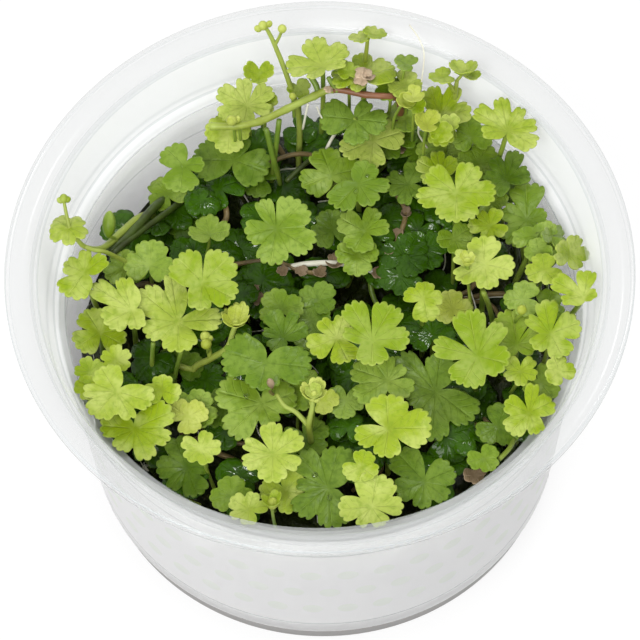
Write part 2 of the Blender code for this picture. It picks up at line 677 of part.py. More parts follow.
def main():
    clear_scene()
    clear_plastic = finish("clear_plastic", (0.92, 0.93, 0.93), 0.12, 0.3)
    label_film = finish("label_film", (0.80, 0.80, 0.80), 0.35)
    gel = finish("gel", (0.42, 0.34, 0.20), 0.15)
    mat = finish("root_mat", (0.035, 0.040, 0.018), 0.6)
    greens = {
        "bright": finish("leaf_bright", (0.36, 0.53, 0.05), 0.45),
        "mid": finish("leaf_mid", (0.17, 0.31, 0.05), 0.4),
        "dark": finish("leaf_dark", (0.06, 0.17, 0.03), 0.3),
    }
    turned("cup", CUP_PROFILE, clear_plastic)
    low = outer_radius(LABEL_BOTTOM) + GAP
    high = outer_radius(LABEL_TOP) + GAP
    sleeve(
        "label",
        (
            (low, LABEL_BOTTOM),
            (low + LABEL_THICKNESS, LABEL_BOTTOM),
            (high + LABEL_THICKNESS, LABEL_TOP),
            (high, LABEL_TOP),
        ),
        label_film,
    )
    floor = 1.1 + GAP
    turned(
        "gel",
        ((37.2, floor), (inner_radius(3.0) - 0.6, 3.0), (inner_radius(GEL_TOP) - 0.6, GEL_TOP)),
        gel,
    )
    make_mat(mat)
    stem = finish("stem", (0.38, 0.47, 0.12), 0.4)
    taken = [make_stem("runner", [(*point, RUNNER_RADIUS) for point in RUNNER], stem)]
    for name, *rows in SPRIGS:
        taken.append(make_stem(name, rows, stem))
    for leaf in LEAVES:
        foot, bend, path = place_stalk(leaf, taken)
        taken.append(path)
        make_leaf(leaf, foot, bend, greens[leaf.tone])


if __name__ == "__main__":
    main()
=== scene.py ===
"""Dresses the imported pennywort: a clear growing cup in its white wrap, and the living plant that fills it.

Lengths in the tables are millimetres and angles are degrees. Meshes are made in metres. The cup stands on
z = 0, centred on the Z axis, with its front towards -Y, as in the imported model.
"""

import math
from typing import NamedTuple

import bpy
import numpy as np
from bpy.props import FloatProperty, FloatVectorProperty, IntProperty, PointerProperty
from mathutils import Matrix, Vector


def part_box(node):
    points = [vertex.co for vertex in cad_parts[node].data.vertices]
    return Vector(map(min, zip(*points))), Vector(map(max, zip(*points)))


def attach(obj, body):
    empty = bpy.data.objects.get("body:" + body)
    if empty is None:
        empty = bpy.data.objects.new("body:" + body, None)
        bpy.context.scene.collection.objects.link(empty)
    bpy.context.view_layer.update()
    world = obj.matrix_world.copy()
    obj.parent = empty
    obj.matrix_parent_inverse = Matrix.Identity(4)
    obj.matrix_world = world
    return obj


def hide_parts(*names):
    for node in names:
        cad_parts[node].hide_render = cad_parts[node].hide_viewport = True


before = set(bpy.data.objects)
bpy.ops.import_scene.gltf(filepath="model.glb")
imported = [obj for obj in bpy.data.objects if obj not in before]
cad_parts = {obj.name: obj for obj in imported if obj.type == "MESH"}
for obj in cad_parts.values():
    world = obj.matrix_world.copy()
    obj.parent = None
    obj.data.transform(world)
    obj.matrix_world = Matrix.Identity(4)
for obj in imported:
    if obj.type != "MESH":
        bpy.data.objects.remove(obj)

bl_info = {
    "name": "Potted Pennywort",
    "version": (1, 0, 0),
    "blender": (4, 5, 0),
    "location": "View3D > Sidebar > Pennywort",
    "description": "Makes a three-lobed pennywort growing in a clear cup",
    "category": "Add Mesh",
}

MM = 0.001
SEED = 41

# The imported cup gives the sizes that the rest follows, in millimetres.
CUP_LOW, CUP_HIGH = (np.array(corner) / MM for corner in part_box("cup"))
GEL_HIGH = np.array(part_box("gel")[1]) / MM
MAT_HIGH = np.array(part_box("root_mat")[1]) / MM
RIM_RADIUS = float(CUP_HIGH[0])
CUP_HEIGHT = float(CUP_HIGH[2])
BASE_RADIUS = 39.0
STEP_HEIGHT = 47.2
TURN_SIDES = 160

# Cup: radius and height, from the middle of its underside out, up, over the rim and down the inner wall.
CUP_PROFILE = (
    (BASE_RADIUS - 0.8, 0.0),
    (BASE_RADIUS - 0.25, 0.2),
    (BASE_RADIUS, 0.8),
    (39.29, 5.4),
    (41.9, 46.6),
    (42.3, 47.1),
    (43.9, 47.8),
    (44.2, 48.3),
    (45.6, 55.6),
    (46.2, 56.3),
    (49.2, 57.3),
    (49.4, 56.9),
    (49.8, 56.9),
    (RIM_RADIUS, 57.1),
    (RIM_RADIUS, 58.3),
    (49.8, 58.6),
    (49.6, CUP_HEIGHT),
    (49.2, 58.6),
    (45.1, 56.8),
    (44.8, 56.3),
    (43.1, 48.3),
    (42.8, 48.0),
    (41.3, 47.4),
    (41.1, STEP_HEIGHT),
    (38.4, 2.0),
    (38.2, 1.4),
    (37.7, 1.1),
)
# Stretches of the profile that are sharp corners, where the plastic looks denser and is painted a darker grey, a
# painted reflection that stands for the edge lines clear plastic refracts there; those of the flange, those of the
# thin wall behind the film, and how many make the foot.
CUP_CORNERS = (4, 6, 8, 10, 12, 14, 18, 20, 22)
CUP_FLANGE = (9, 11, 13, 15, 16, 17)
CUP_WALL = (3, 23)
CUP_FOOT = 3
# The film's lower edge, where the photograph shows it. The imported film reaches 2 mm lower.
WRAP_BOTTOM = 4.9
INNER_WALL = ((1.1, 37.7), (2.0, 38.4), (STEP_HEIGHT, 41.1), (48.0, 42.8), (56.3, 44.8), (60.0, 46.5))
LABEL_TOP = 45.2
LABEL_THICKNESS = 0.3
GAP = 0.3
GEL_TOP = 14.0
MAT_TOP = 34.5
MAT_SHOULDER = 1.5
OVAL_COUNT = 44

# Photograph's view: the camera's height angle and roll in degrees, its distance and aim, and its lens.
CAMERA_PITCH = 61.74
CAMERA_ROLL = -1.83
CAMERA_DISTANCE = 556.0
CAMERA_AIM = (-0.185, -9.975, 58.7)
CAMERA_LENS = 199.2
SENSOR_WIDTH = 36.0

# A leaf's blade hangs on its stalk at a point near its middle, and its lobes reach out from there. They are
# listed anticlockwise from the deep cut at the stalk, each by its direction from +X, its reach and half its
# width, as they look from above the front, where a point 1 mm higher looks SEEN_RISE mm further back.
SEEN_RISE = 0.54
SINUS = 0.85
CUT = 0.74
WIDE_CUT = 0.42
WIDE_GAP = 20
CENTRE_DIP = 0.07
LOBE_FOLD = 0.055
LOBE_SPREAD = 0.36
# A loose blade that leans away from the photograph's view is at most so many times longer than it looks.
MOST_STRETCH = 1.3
STALK_BENDS = (0.5, 0.3, 0.15, 0.06)
STALK_RADIUS = 0.55
FOOT_REACH = 36.5
FOOT_SINK = 1.6
FILLER_REACH = 36.0
# Rings of a blade, as shares of the way out: of a grown leaf, of a young one, and of a low one or a scrap.
LEAF_RINGS = (0.14, 0.28, 0.42, 0.56, 0.7, 0.82, 0.92, 1.0)
YOUNG_RINGS = (0.2, 0.45, 0.7, 0.9, 1.0)
FILLER_RINGS = (0.35, 0.75, 1.0)
# Packed leaves that are clearly paler or deeper than their tone, from -1 to 1: partly their own tint and partly
# painted light and painted shade, by how much light falls on each leaf.
LEAF_TINTS_AND_PAINTED_LIGHT = {
    "leaf_01": 0.8,
    "leaf_04": -0.5,
    "leaf_05": -0.9,
    "leaf_08": -0.2,
    "leaf_09": -0.5,
    "leaf_15": -0.7,
    "leaf_17": -0.7,
    "leaf_19": -0.3,
    "leaf_20": 0.6,
    "leaf_21": 0.8,
    "leaf_22": 0.7,
    "leaf_24": -0.6,
    "leaf_26": -0.2,
    "leaf_34": -0.8,
    "leaf_36": 0.6,
    "leaf_38": 0.2,
    "leaf_43": 0.1,
    "leaf_44": 0.0,
    "leaf_45": 0.3,
    "leaf_47": 0.7,
}
# Packed leaves whose green looks like that of the tone next to their own: painted light where a leaf lies in more
# light than its tone's, and painted shade where it lies in less.
LOOKS_LIKE = {**dict.fromkeys(("leaf_08", "leaf_19", "leaf_34", "leaf_43", "leaf_44"), "bright"), "leaf_26": "mid"}


class Leaf(NamedTuple):
    """Place of the blade's middle, lean and its direction, rise of the margin as a share, tone and lobes."""

    name: str
    x: float
    y: float
    z: float
    lean: float
    toward: float
    rise: float
    tone: str
    lobes: tuple


LEAVES = (
    Leaf("leaf_01", -11.0, 33.4, 53.5, 6, -90, 0.08, "bright", (
        (98, 4.9, 20), (150, 5.4, 28), (204, 5.2, 22), (262, 3.6, 30), (340, 4.2, 22), (35, 5.0, 27),
    )),
    Leaf("leaf_02", 1.6, 36.7, 60.0, 18, 90, 0.05, "bright", (
        (0, 3.8, 12), (38, 5.0, 26), (110, 5.1, 28), (188, 6.0, 26), (231, 3.8, 16),
    )),
    Leaf("leaf_03", -13.6, 27.8, 45.5, 8, -90, -0.1, "dark", (
        (335, 6.2, 46), (75, 4.8, 28), (178, 6.9, 42),
    )),
    Leaf("leaf_04", -21.8, 24.4, 50.0, 12, 200, -0.05, "mid", (
        (128, 4.4, 44), (262, 5.2, 44), (0, 3.5, 30),
    )),
    Leaf("leaf_05", -20.2, 20.0, 39.5, 6, -90, -0.2, "dark", (
        (12, 3.4, 42), (94, 4.0, 36), (196, 4.8, 46),
    )),
    Leaf("leaf_06", -37.6, 3.0, 53.5, 6, -90, 0.05, "bright", (
        (38, 4.3, 26), (86, 3.9, 20), (155, 3.6, 34), (238, 5.4, 38),
    )),
    Leaf("leaf_07", -30.3, -2.3, 50.3, 5, -90, 0.08, "bright", (
        (106, 5.8, 18), (144, 7.6, 20), (212, 5.1, 42), (285, 4.0, 26),
    )),
    Leaf("leaf_08", -35.7, -3.6, 45.3, 0, 0, 0.05, "mid", (
        (325, 4.7, 33), (35, 4.2, 30), (120, 4.6, 38), (218, 4.8, 38),
    )),
    Leaf("leaf_09", -18.8, 1.05, 52.5, 4, -90, 0.05, "bright", (
        (131, 6.1, 38), (266, 5.5, 25), (326, 6.2, 33), (43, 6.3, 38),
    )),
    Leaf("leaf_10", -23.0, -3.7, 48.5, 5, -120, 0.04, "bright", (
        (96, 8.6, 13), (138, 8.0, 27), (205, 5.9, 24), (272, 5.9, 36), (358, 7.2, 17),
    )),
    Leaf("leaf_11", -6.2, -6.75, 47.5, 10, -90, 0.12, "dark", (
        (20, 4.3, 24), (64, 4.8, 18), (112, 5.0, 28), (160, 3.4, 18), (235, 3.2, 35),
    )),
    Leaf("leaf_12", -9.1, -13.1, 51.0, 6, -90, -0.08, "dark", (
        (160, 7.0, 42), (262, 5.0, 42), (352, 7.4, 34),
    )),
    Leaf("leaf_13", -9.8, -17.9, 46.5, 4, -90, 0.0, "mid", (
        (163, 7.6, 26), (226, 7.7, 26), (290, 4.5, 28), (15, 5.6, 45),
    )),
    Leaf("leaf_14", 2.4, -8.4, 49.8, 6, -90, 0.08, "bright", (
        (290, 5.2, 32), (12, 4.0, 24), (70, 4.0, 26), (128, 4.0, 22), (206, 5.1, 32),
    )),
    Leaf("leaf_15", 8.0, -10.8, 53.3, 4, -90, 0.06, "bright", (
        (118, 7.2, 22), (163, 4.8, 15), (268, 4.8, 38), (0, 5.9, 26), (60, 7.0, 28),
    )),
    Leaf("leaf_16", 16.3, -4.6, 55.0, 10, -90, -0.35, "bright", (
        (282, 3.9, 45), (5, 3.2, 34), (80, 3.4, 36), (155, 3.3, 32),
    )),
    Leaf("leaf_17", 24.5, -14.0, 53.0, 6, -90, 0.05, "bright", (
        (166, 7.2, 16), (244, 6.2, 34), (338, 5.2, 40), (54, 6.8, 17), (97, 8.0, 24),
    )),
    Leaf("leaf_18", 22.5, 14.4, 55.5, 4, -90, 0.04, "bright", (
        (140, 6.0, 24), (190, 6.6, 24), (267, 6.0, 46), (356, 6.3, 30), (56, 5.7, 27),
    )),
    Leaf("leaf_19", 20.2, 21.5, 50.0, 8, 90, 0.04, "mid", (
        (40, 3.6, 28), (95, 3.9, 25), (150, 4.2, 28), (215, 3.5, 28),
    )),
    Leaf("leaf_20", 14.9, 21.5, 46.5, 12, 180, -0.05, "dark", (
        (60, 4.5, 35), (150, 3.6, 25), (205, 3.6, 25), (258, 3.9, 26), (312, 3.5, 25),
    )),
    Leaf("leaf_21", 9.6, 28.5, 49.2, 4, -90, 0.05, "bright", (
        (15, 5.1, 44), (105, 4.5, 30), (206, 6.0, 26), (262, 5.7, 28),
    )),
    Leaf("leaf_22", 6.6, 29.9, 53.7, 6, -90, -0.06, "dark", (
        (172, 5.8, 42), (274, 4.9, 32), (350, 5.4, 38), (52, 4.0, 22),
    )),
    Leaf("leaf_23", 2.4, 23.8, 46.3, 6, -90, 0.05, "mid", (
        (10, 5.0, 42), (106, 5.2, 36), (206, 5.4, 38),
    )),
    Leaf("leaf_24", 6.8, 19.8, 50.3, 5, -90, 0.05, "mid", (
        (232, 6.3, 30), (296, 5.0, 30), (348, 5.2, 20), (60, 4.2, 38),
    )),
    Leaf("leaf_25", 7.6, 13.2, 46.0, 5, -90, 0.05, "mid", (
        (12, 4.1, 26), (62, 4.4, 24), (150, 4.8, 32), (246, 4.4, 44),
    )),
    Leaf("leaf_26", -6.8, 11.7, 50.5, 8, -90, 0.06, "bright", (
        (112, 5.7, 18), (196, 5.2, 33), (262, 7.0, 30), (322, 7.2, 28), (45, 6.3, 42),
    )),
    Leaf("leaf_27", 31.0, 19.0, 51.5, 16, 30, -0.05, "dark", (
        (15, 4.0, 28), (70, 5.5, 22), (116, 4.6, 22), (176, 3.9, 30), (232, 3.9, 24),
    )),
    Leaf("leaf_28", 34.0, 12.7, 49.3, 8, 20, -0.05, "mid", (
        (10, 3.3, 35), (88, 6.8, 32), (158, 4.4, 32), (232, 5.8, 32), (300, 4.5, 25),
    )),
    Leaf("leaf_29", 35.3, 8.1, 52.0, 6, 0, 0.0, "mid", (
        (318, 5.3, 26), (25, 3.4, 32), (198, 4.3, 28), (240, 3.8, 14),
    )),
    Leaf("leaf_30", 27.8, 10.1, 51.8, 5, -90, 0.05, "bright", (
        (68, 3.3, 28), (124, 3.0, 24), (182, 3.7, 30), (250, 2.6, 34), (325, 3.0, 30),
    )),
    Leaf("leaf_31", 26.3, 1.3, 55.0, 5, -90, 0.05, "bright", (
        (90, 4.9, 42), (162, 5.1, 20), (212, 5.5, 24), (276, 4.9, 28), (343, 4.9, 34),
    )),
    Leaf("leaf_32", 41.7, -5.9, 56.5, 5, -90, 0.05, "bright", (
        (18, 2.1, 34), (78, 4.6, 26), (150, 5.7, 22), (193, 3.8, 16),
    )),
    Leaf("leaf_33", 36.2, -10.8, 53.5, 5, -90, 0.05, "bright", (
        (97, 5.8, 22), (141, 4.6, 16), (226, 4.0, 28), (292, 4.9, 32), (20, 5.0, 34),
    )),
    Leaf("leaf_34", 31.0, -10.6, 50.0, 5, -90, 0.05, "mid", (
        (95, 6.0, 38), (172, 4.2, 22), (228, 3.0, 24), (330, 3.2, 26), (33, 4.4, 22),
    )),
    Leaf("leaf_35", 32.3, -22.9, 50.0, 5, -90, 0.05, "bright", (
        (155, 4.2, 28), (228, 5.0, 30), (284, 4.2, 24), (26, 4.3, 34), (78, 5.0, 16),
    )),
    Leaf("leaf_36", 17.9, -16.4, 45.8, 5, -90, -0.05, "dark", (
        (80, 6.5, 30), (130, 8.8, 20), (200, 5.0, 32), (262, 8.8, 26), (316, 8.0, 26),
    )),
    Leaf("leaf_37", 10.3, -15.3, 47.8, 4, -90, 0.0, "mid", (
        (42, 3.6, 20), (90, 4.3, 24), (157, 6.2, 28), (212, 6.2, 26), (326, 4.5, 32),
    )),
    Leaf("leaf_38", 10.0, -25.3, 51.0, 5, -90, 0.04, "bright", (
        (206, 5.6, 26), (262, 5.4, 30), (356, 6.8, 38), (90, 5.8, 44),
    )),
    Leaf("leaf_39", -8.2, -29.1, 50.8, 4, -90, 0.04, "bright", (
        (160, 4.9, 18), (202, 5.1, 24), (268, 5.2, 36), (326, 4.8, 20), (36, 5.4, 28), (90, 5.4, 24),
    )),
    Leaf("leaf_40", -22.2, -26.7, 42.0, 4, -90, -0.05, "dark", (
        (107, 5.6, 30), (178, 4.8, 34), (236, 4.6, 22), (290, 5.5, 30), (0, 3.5, 30),
    )),
    Leaf("leaf_41", -32.7, -17.8, 52.0, 4, -90, 0.05, "bright", (
        (118, 4.8, 38), (180, 5.2, 20), (232, 5.9, 30), (296, 5.8, 16), (338, 6.3, 24),
    )),
    Leaf("leaf_42", -30.0, -22.8, 48.8, 5, -90, 0.04, "bright", (
        (176, 5.4, 30), (238, 4.8, 26), (291, 6.2, 22), (336, 6.2, 20), (22, 6.7, 24),
    )),
    Leaf("leaf_43", 8.3, 35.3, 58.0, 27, 90, 0.0, "mid", (
        (20, 5.4, 38), (92, 4.6, 28), (172, 5.4, 40), (236, 3.4, 20),
    )),
    Leaf("leaf_44", 20.4, 28.8, 55.0, 5, -90, 0.04, "mid", (
        (212, 3.8, 22), (268, 5.5, 28), (15, 5.3, 26), (62, 6.3, 18), (102, 6.0, 20),
    )),
    Leaf("leaf_45", 31.2, 24.75, 57.5, 10, 60, 0.05, "bright", (
        (318, 5.7, 24), (5, 4.8, 20), (56, 4.6, 14), (98, 5.7, 16), (148, 6.3, 18), (190, 4.4, 20),
    )),
    Leaf("leaf_46", 0.2, -33.1, 46.5, 4, -90, -0.06, "dark", (
        (72, 7.4, 28), (126, 7.8, 24), (172, 5.0, 18), (222, 6.8, 26), (274, 7.2, 24),
    )),
    Leaf("leaf_47", 6.9, -38.0, 49.2, 4, -90, 0.05, "bright", (
        (356, 5.0, 24), (76, 5.7, 44), (188, 5.2, 30), (238, 4.0, 16), (298, 3.9, 26),
    )),
    Leaf("leaf_48", 15.4, -32.2, 45.5, 4, -90, -0.03, "dark", (
        (128, 6.7, 28), (204, 5.0, 30), (262, 4.8, 24), (316, 4.8, 24), (24, 5.2, 36),
    )),
    Leaf("leaf_49", -12.2, -37.4, 48.4, 4, -90, 0.03, "bright", (
        (10, 3.0, 26), (72, 2.9, 32), (145, 3.4, 36), (205, 3.2, 20), (265, 2.9, 34),
    )),
)

# Young and half-hidden leaves: across, back as it looks from above the front, height, reach, heading of the
# middle lobe, number of lobes, lean, direction of the lean, rise of the margin and tone.
SMALL_LEAVES = (
    (-27.5, 6.0, 47.5, 4.6, 80, 3, 8, -90, 0.05, "mid"),
    (-31.5, 5.4, 46.5, 3.6, 100, 3, 10, -60, 0.05, "mid"),
    (-6.5, -3.0, 45.0, 4.0, 120, 3, 6, -90, 0.05, "mid"),
    (-0.3, -1.5, 44.5, 3.4, 60, 3, 6, -90, 0.05, "dark"),
    (21.3, -4.0, 46.5, 3.4, 100, 3, 14, -30, 0.0, "pale"),
    (26.6, 23.0, 49.0, 3.8, 60, 3, 8, -90, 0.0, "mid"),
    (35.2, 6.0, 52.6, 2.6, 90, 3, 8, 180, 0.04, "mid"),
    (35.9, 2.6, 53.0, 3.0, 200, 3, 14, 200, 0.04, "bright"),
    (31.3, -15.6, 50.5, 3.0, -90, 5, 6, -90, 0.05, "bright"),
    (-19.5, -27.3, 50.0, 3.2, -70, 5, 4, -90, 0.03, "bright"),
    (-25.5, -17.0, 50.0, 3.0, 90, 3, 8, -90, 0.05, "bright"),
    (-21.7, -22.0, 46.0, 3.4, 30, 3, 8, -90, 0.0, "pale"),
    (25.5, 28.0, 51.0, 3.8, 100, 3, 10, -90, 0.0, "mid"),
    (32.2, -2.6, 52.0, 3.4, 180, 3, 8, -90, -0.06, "mid"),
    (-15.0, -36.0, 46.0, 3.6, 90, 3, 8, -90, 0.0, "mid"),
    (-32.8, -11.2, 49.6, 2.7, 90, 5, 6, -90, 0.06, "bright"),
    (-37.0, -13.2, 49.0, 2.7, 110, 5, 10, -60, 0.06, "bright"),
    (-38.2, -16.4, 48.6, 2.4, 170, 3, 10, -60, 0.06, "bright"),
    (-36.6, -21.0, 47.0, 3.4, 200, 5, 10, -60, 0.04, "bright"),
    (-1.7, -5.3, 44.0, 3.6, 40, 3, 6, -90, 0.05, "dark"),
    (-1.9, -7.8, 43.4, 3.2, -20, 3, 6, -90, 0.05, "dark"),
    (-14.2, 30.2, 50.0, 3.9, -90, 3, 10, -90, 0.02, "bright"),
    (-25.0, 19.5, 41.0, 3.8, 120, 3, 20, 140, -0.1, "mid"),
    (-13.0, 8.5, 39.5, 4.4, 100, 3, 6, -90, -0.2, "wet"),
    (-20.5, 8.2, 40.5, 4.2, 60, 3, 6, -90, -0.1, "wet"),
    (-4.0, -17.5, 45.5, 4.2, -60, 3, 6, -90, 0.0, "mid"),
    (0.0, -20.0, 46.5, 2.7, -90, 3, 6, -90, 0.04, "pale"),
    (3.5, -20.0, 46.0, 3.3, -100, 3, 6, -90, 0.02, "mid"),
    (17.8, -8.5, 44.5, 4.2, 90, 3, 6, -90, 0.0, "wet"),
    (6.2, 6.5, 44.5, 4.0, -90, 3, 6, -90, 0.04, "mid"),
    (40.2, 5.2, 53.0, 3.4, 70, 5, 55, 0, 0.06, "bright"),
    (38.0, 8.6, 51.5, 2.6, 60, 3, 60, 10, 0.0, "mid"),
    (37.8, -16.0, 53.0, 2.8, 110, 3, 20, 0, 0.04, "bright"),
    (-6.5, -35.5, 45.8, 4.2, -60, 3, 6, -90, 0.02, "bright"),
    (5.5, -31.5, 50.2, 3.1, -40, 3, 12, -90, 0.1, "bright"),
    (26.0, -32.0, 46.5, 2.8, -60, 3, 8, -90, 0.02, "mid"),
    (27.5, -25.5, 44.5, 4.2, -40, 3, 6, -90, 0.0, "dark"),
    (15.0, 38.0, 57.0, 3.2, -30, 3, 14, 90, 0.02, "bright"),
    (12.6, 37.4, 56.4, 3.2, 120, 3, 14, 90, 0.0, "mid"),
    (5.8, 40.6, 58.8, 2.0, 100, 3, 10, 90, 0.04, "bright"),
    (14.0, 6.0, 42.5, 4.6, 60, 3, 6, -90, 0.0, "wet"),
    (13.0, 2.6, 42.0, 4.4, -60, 3, 6, -90, 0.0, "wet"),
    (17.5, 7.2, 42.5, 4.2, 30, 3, 6, -90, 0.0, "wet"),
    (2.4, 11.5, 43.0, 3.8, 100, 3, 6, -90, 0.0, "dark"),
    (-8.2, 35.6, 52.4, 2.4, -80, 3, 10, -90, 0.02, "bright"),
    (-2.4, 38.0, 55.2, 2.0, -60, 3, 16, 90, 0.02, "bright"),
    (33.0, 20.0, 46.0, 3.6, 20, 3, 20, 20, 0.0, "dark"),
    (-15.0, 24.5, 42.0, 4.0, 30, 3, 10, -90, 0.0, "dark"),
    (-9.5, 22.0, 41.5, 4.0, 150, 3, 10, -90, 0.0, "dark"),
    (20.0, -22.5, 42.5, 4.2, -60, 3, 6, -90, 0.0, "dark"),
    (-16.0, -21.0, 42.5, 4.4, 200, 3, 6, -90, 0.0, "dark"),
    (-3.0, -26.5, 43.0, 4.4, -60, 3, 6, -90, 0.0, "dark"),
    (36.0, -4.4, 50.0, 3.4, -40, 3, 10, -40, 0.0, "mid"),
    (34.5, -17.8, 48.6, 3.6, -60, 3, 10, -30, 0.0, "mid"),
    (22.0, 9.0, 49.0, 3.2, -70, 3, 8, -90, 0.0, "mid"),
    (28.0, 15.8, 49.0, 3.2, 20, 3, 8, -90, 0.0, "mid"),
    (-8.8, 40.6, 58.6, 2.6, -90, 3, 20, -90, 0.9, "bright"),
    (-17.8, 11.6, 46.0, 3.4, 100, 3, 26, 90, 0.2, "mid"),
    (15.2, 41.8, 59.6, 2.2, 150, 3, 30, 60, 0.1, "mid"),
    (16.2, 35.4, 58.6, 1.9, -30, 3, 16, 90, 0.4, "pale"),
    (14.6, 34.4, 58.4, 1.8, 200, 3, 26, 0, 0.5, "pale"),
    (16.8, 33.6, 58.0, 1.7, -80, 3, 26, 200, 0.4, "bright"),
    (18.2, 30.2, 57.6, 2.4, 160, 3, 20, 60, 0.4, "pale"),
    (20.6, 28.6, 57.4, 2.2, -60, 3, 30, 240, 0.5, "bright"),
    (22.0, 30.2, 57.6, 1.9, 40, 3, 20, 240, 0.4, "bright"),
    (23.6, 4.6, 56.8, 1.4, 30, 3, 20, 90, 0.6, "pale"),
    (-1.6, -18.4, 54.6, 1.5, 60, 3, 20, 90, 0.6, "bright"),
    (-8.6, -37.4, 48.8, 1.8, -60, 3, 24, 90, 0.8, "bright"),
    (13.2, 28.2, 47.0, 4.0, 120, 3, 10, 90, -0.05, "dark"),
    (16.6, 25.8, 46.0, 4.2, 40, 3, 8, -90, -0.05, "dark"),
    (20.4, 26.4, 47.5, 4.2, -40, 3, 8, 90, 0.0, "mid"),
    (23.2, 24.2, 46.0, 4.4, 160, 3, 8, -90, -0.05, "dark"),
    (15.0, 32.2, 50.0, 3.4, 20, 3, 12, 90, 0.0, "mid"),
    (26.4, 20.4, 45.5, 4.2, 70, 3, 10, 60, -0.05, "dark"),
    (-23.4, -12.6, 41.5, 4.2, 100, 3, 8, -90, -0.05, "dark"),
    (-19.0, -15.4, 41.0, 4.0, -40, 3, 8, 90, -0.1, "wet"),
    (-20.6, -20.6, 45.0, 4.0, 60, 3, 10, -60, 0.1, "mid"),
)

# Runner: the thick creeping stem across the back. Its first part is green, and past RUNNER_DEAD it is brown.
RUNNER = (
    (-17.0, 28.4, 55.2),
    (-13.0, 27.8, 56.0),
    (-9.0, 28.4, 56.2),
    (-4.5, 30.6, 56.2),
    (0.0, 32.8, 56.4),
    (3.2, 33.6, 57.0),
    (8.5, 32.1, 57.4),
    (12.4, 31.8, 57.0),
    (14.1, 33.0, 53.5),
    (13.9, 32.6, 46.0),
    (13.6, 31.0, 37.2),
)
RUNNER_DEAD = 5

# Loose stems: across, back as it looks and height at each bend, then the radius, and the finish.
LOOSE_STEMS = (
    (((-34.4, 8.4, 47.0), (-30.0, 12.8, 45.5), (-26.6, 17.2, 42.0), (-24.5, 19.0, 38.0)), 0.75, "dark"),
    (((-33.5, 8.2, 48.0), (-28.8, 12.5, 44.5), (-23.5, 17.0, 41.0), (-20.0, 20.5, 37.0)), 0.55, "dark"),
    (((-18.0, 18.0, 41.5), (-15.5, 17.0, 42.0), (-15.2, 14.0, 42.0), (-17.5, 12.0, 40.0)), 0.5, "tan"),
    (((-8.0, 30.5, 54.0), (-7.0, 25.0, 48.0), (-6.3, 22.0, 42.0), (-6.0, 20.0, 36.5)), 0.45, "green"),
    (((-5.8, 32.0, 55.0), (-6.7, 26.0, 48.0), (-7.4, 22.0, 40.0), (-7.6, 20.0, 36.5)), 0.45, "green"),
    (((-27.0, -8.5, 47.5), (-27.5, -13.0, 42.0), (-27.2, -16.0, 37.0)), 0.4, "green"),
    (((-22.5, -10.0, 47.0), (-23.8, -14.5, 41.0), (-24.2, -17.0, 37.0)), 0.4, "green"),
    (((26.0, -1.2, 53.0), (27.0, -3.6, 48.0), (27.8, -6.5, 41.0), (28.0, -9.0, 36.5)), 0.45, "green"),
    (((24.0, -25.0, 42.0), (25.5, -27.5, 43.0), (26.6, -26.0, 42.5), (25.6, -24.2, 40.5)), 0.35, "tan"),
    (((30.0, -28.0, 44.0), (29.0, -29.6, 45.0), (27.4, -31.2, 45.5)), 0.4, "green"),
    (((-5.0, 21.0, 42.0), (-2.0, 24.0, 43.0), (1.5, 26.5, 42.5), (4.0, 27.5, 39.0)), 0.45, "dark"),
    (((-9.0, 24.0, 42.5), (-4.0, 26.0, 43.5), (0.0, 25.6, 42.5), (3.0, 23.0, 38.0)), 0.4, "tan"),
    (((2.4, 39.6, 58.6), (3.2, 38.0, 57.6), (3.9, 36.9, 57.0)), 0.4, "green"),
    (((-0.6, 40.2, 58.0), (0.4, 38.2, 57.0), (0.8, 36.2, 56.0)), 0.5, "green"),
    (((16.0, 49.0, 60.5), (17.6, 46.0, 60.0), (18.2, 43.0, 59.0), (17.6, 38.0, 57.0), (17.5, 35.0, 55.0)), 0.12, "white"),
    (((17.0, 30.0, 54.0), (17.0, 28.6, 51.0), (18.5, 26.0, 47.0), (18.8, 24.6, 43.0)), 0.16, "white"),
    (((-1.0, 34.8, 56.0), (-1.4, 33.2, 54.0), (-2.0, 30.5, 50.0)), 0.2, "white"),
    (((0.4, 34.2, 56.0), (1.0, 32.6, 54.0), (1.8, 31.2, 52.0)), 0.14, "white"),
    (((3.5, 30.0, 47.0), (2.4, 28.0, 46.5), (0.5, 24.0, 44.0)), 0.3, "white"),
    (((-8.0, 4.0, 40.5), (-2.0, 5.2, 41.5), (4.0, 5.0, 41.0), (9.0, 3.4, 40.0)), 0.5, "white"),
    (((-14.0, 5.6, 40.5), (-8.0, 6.0, 41.5), (-3.0, 4.0, 41.0), (1.0, 3.0, 40.0)), 0.4, "tan"),
    (((9.5, 3.0, 41.0), (12.5, 8.0, 41.8), (14.5, 14.0, 42.0), (13.2, 18.0, 40.0)), 0.45, "tan"),
)

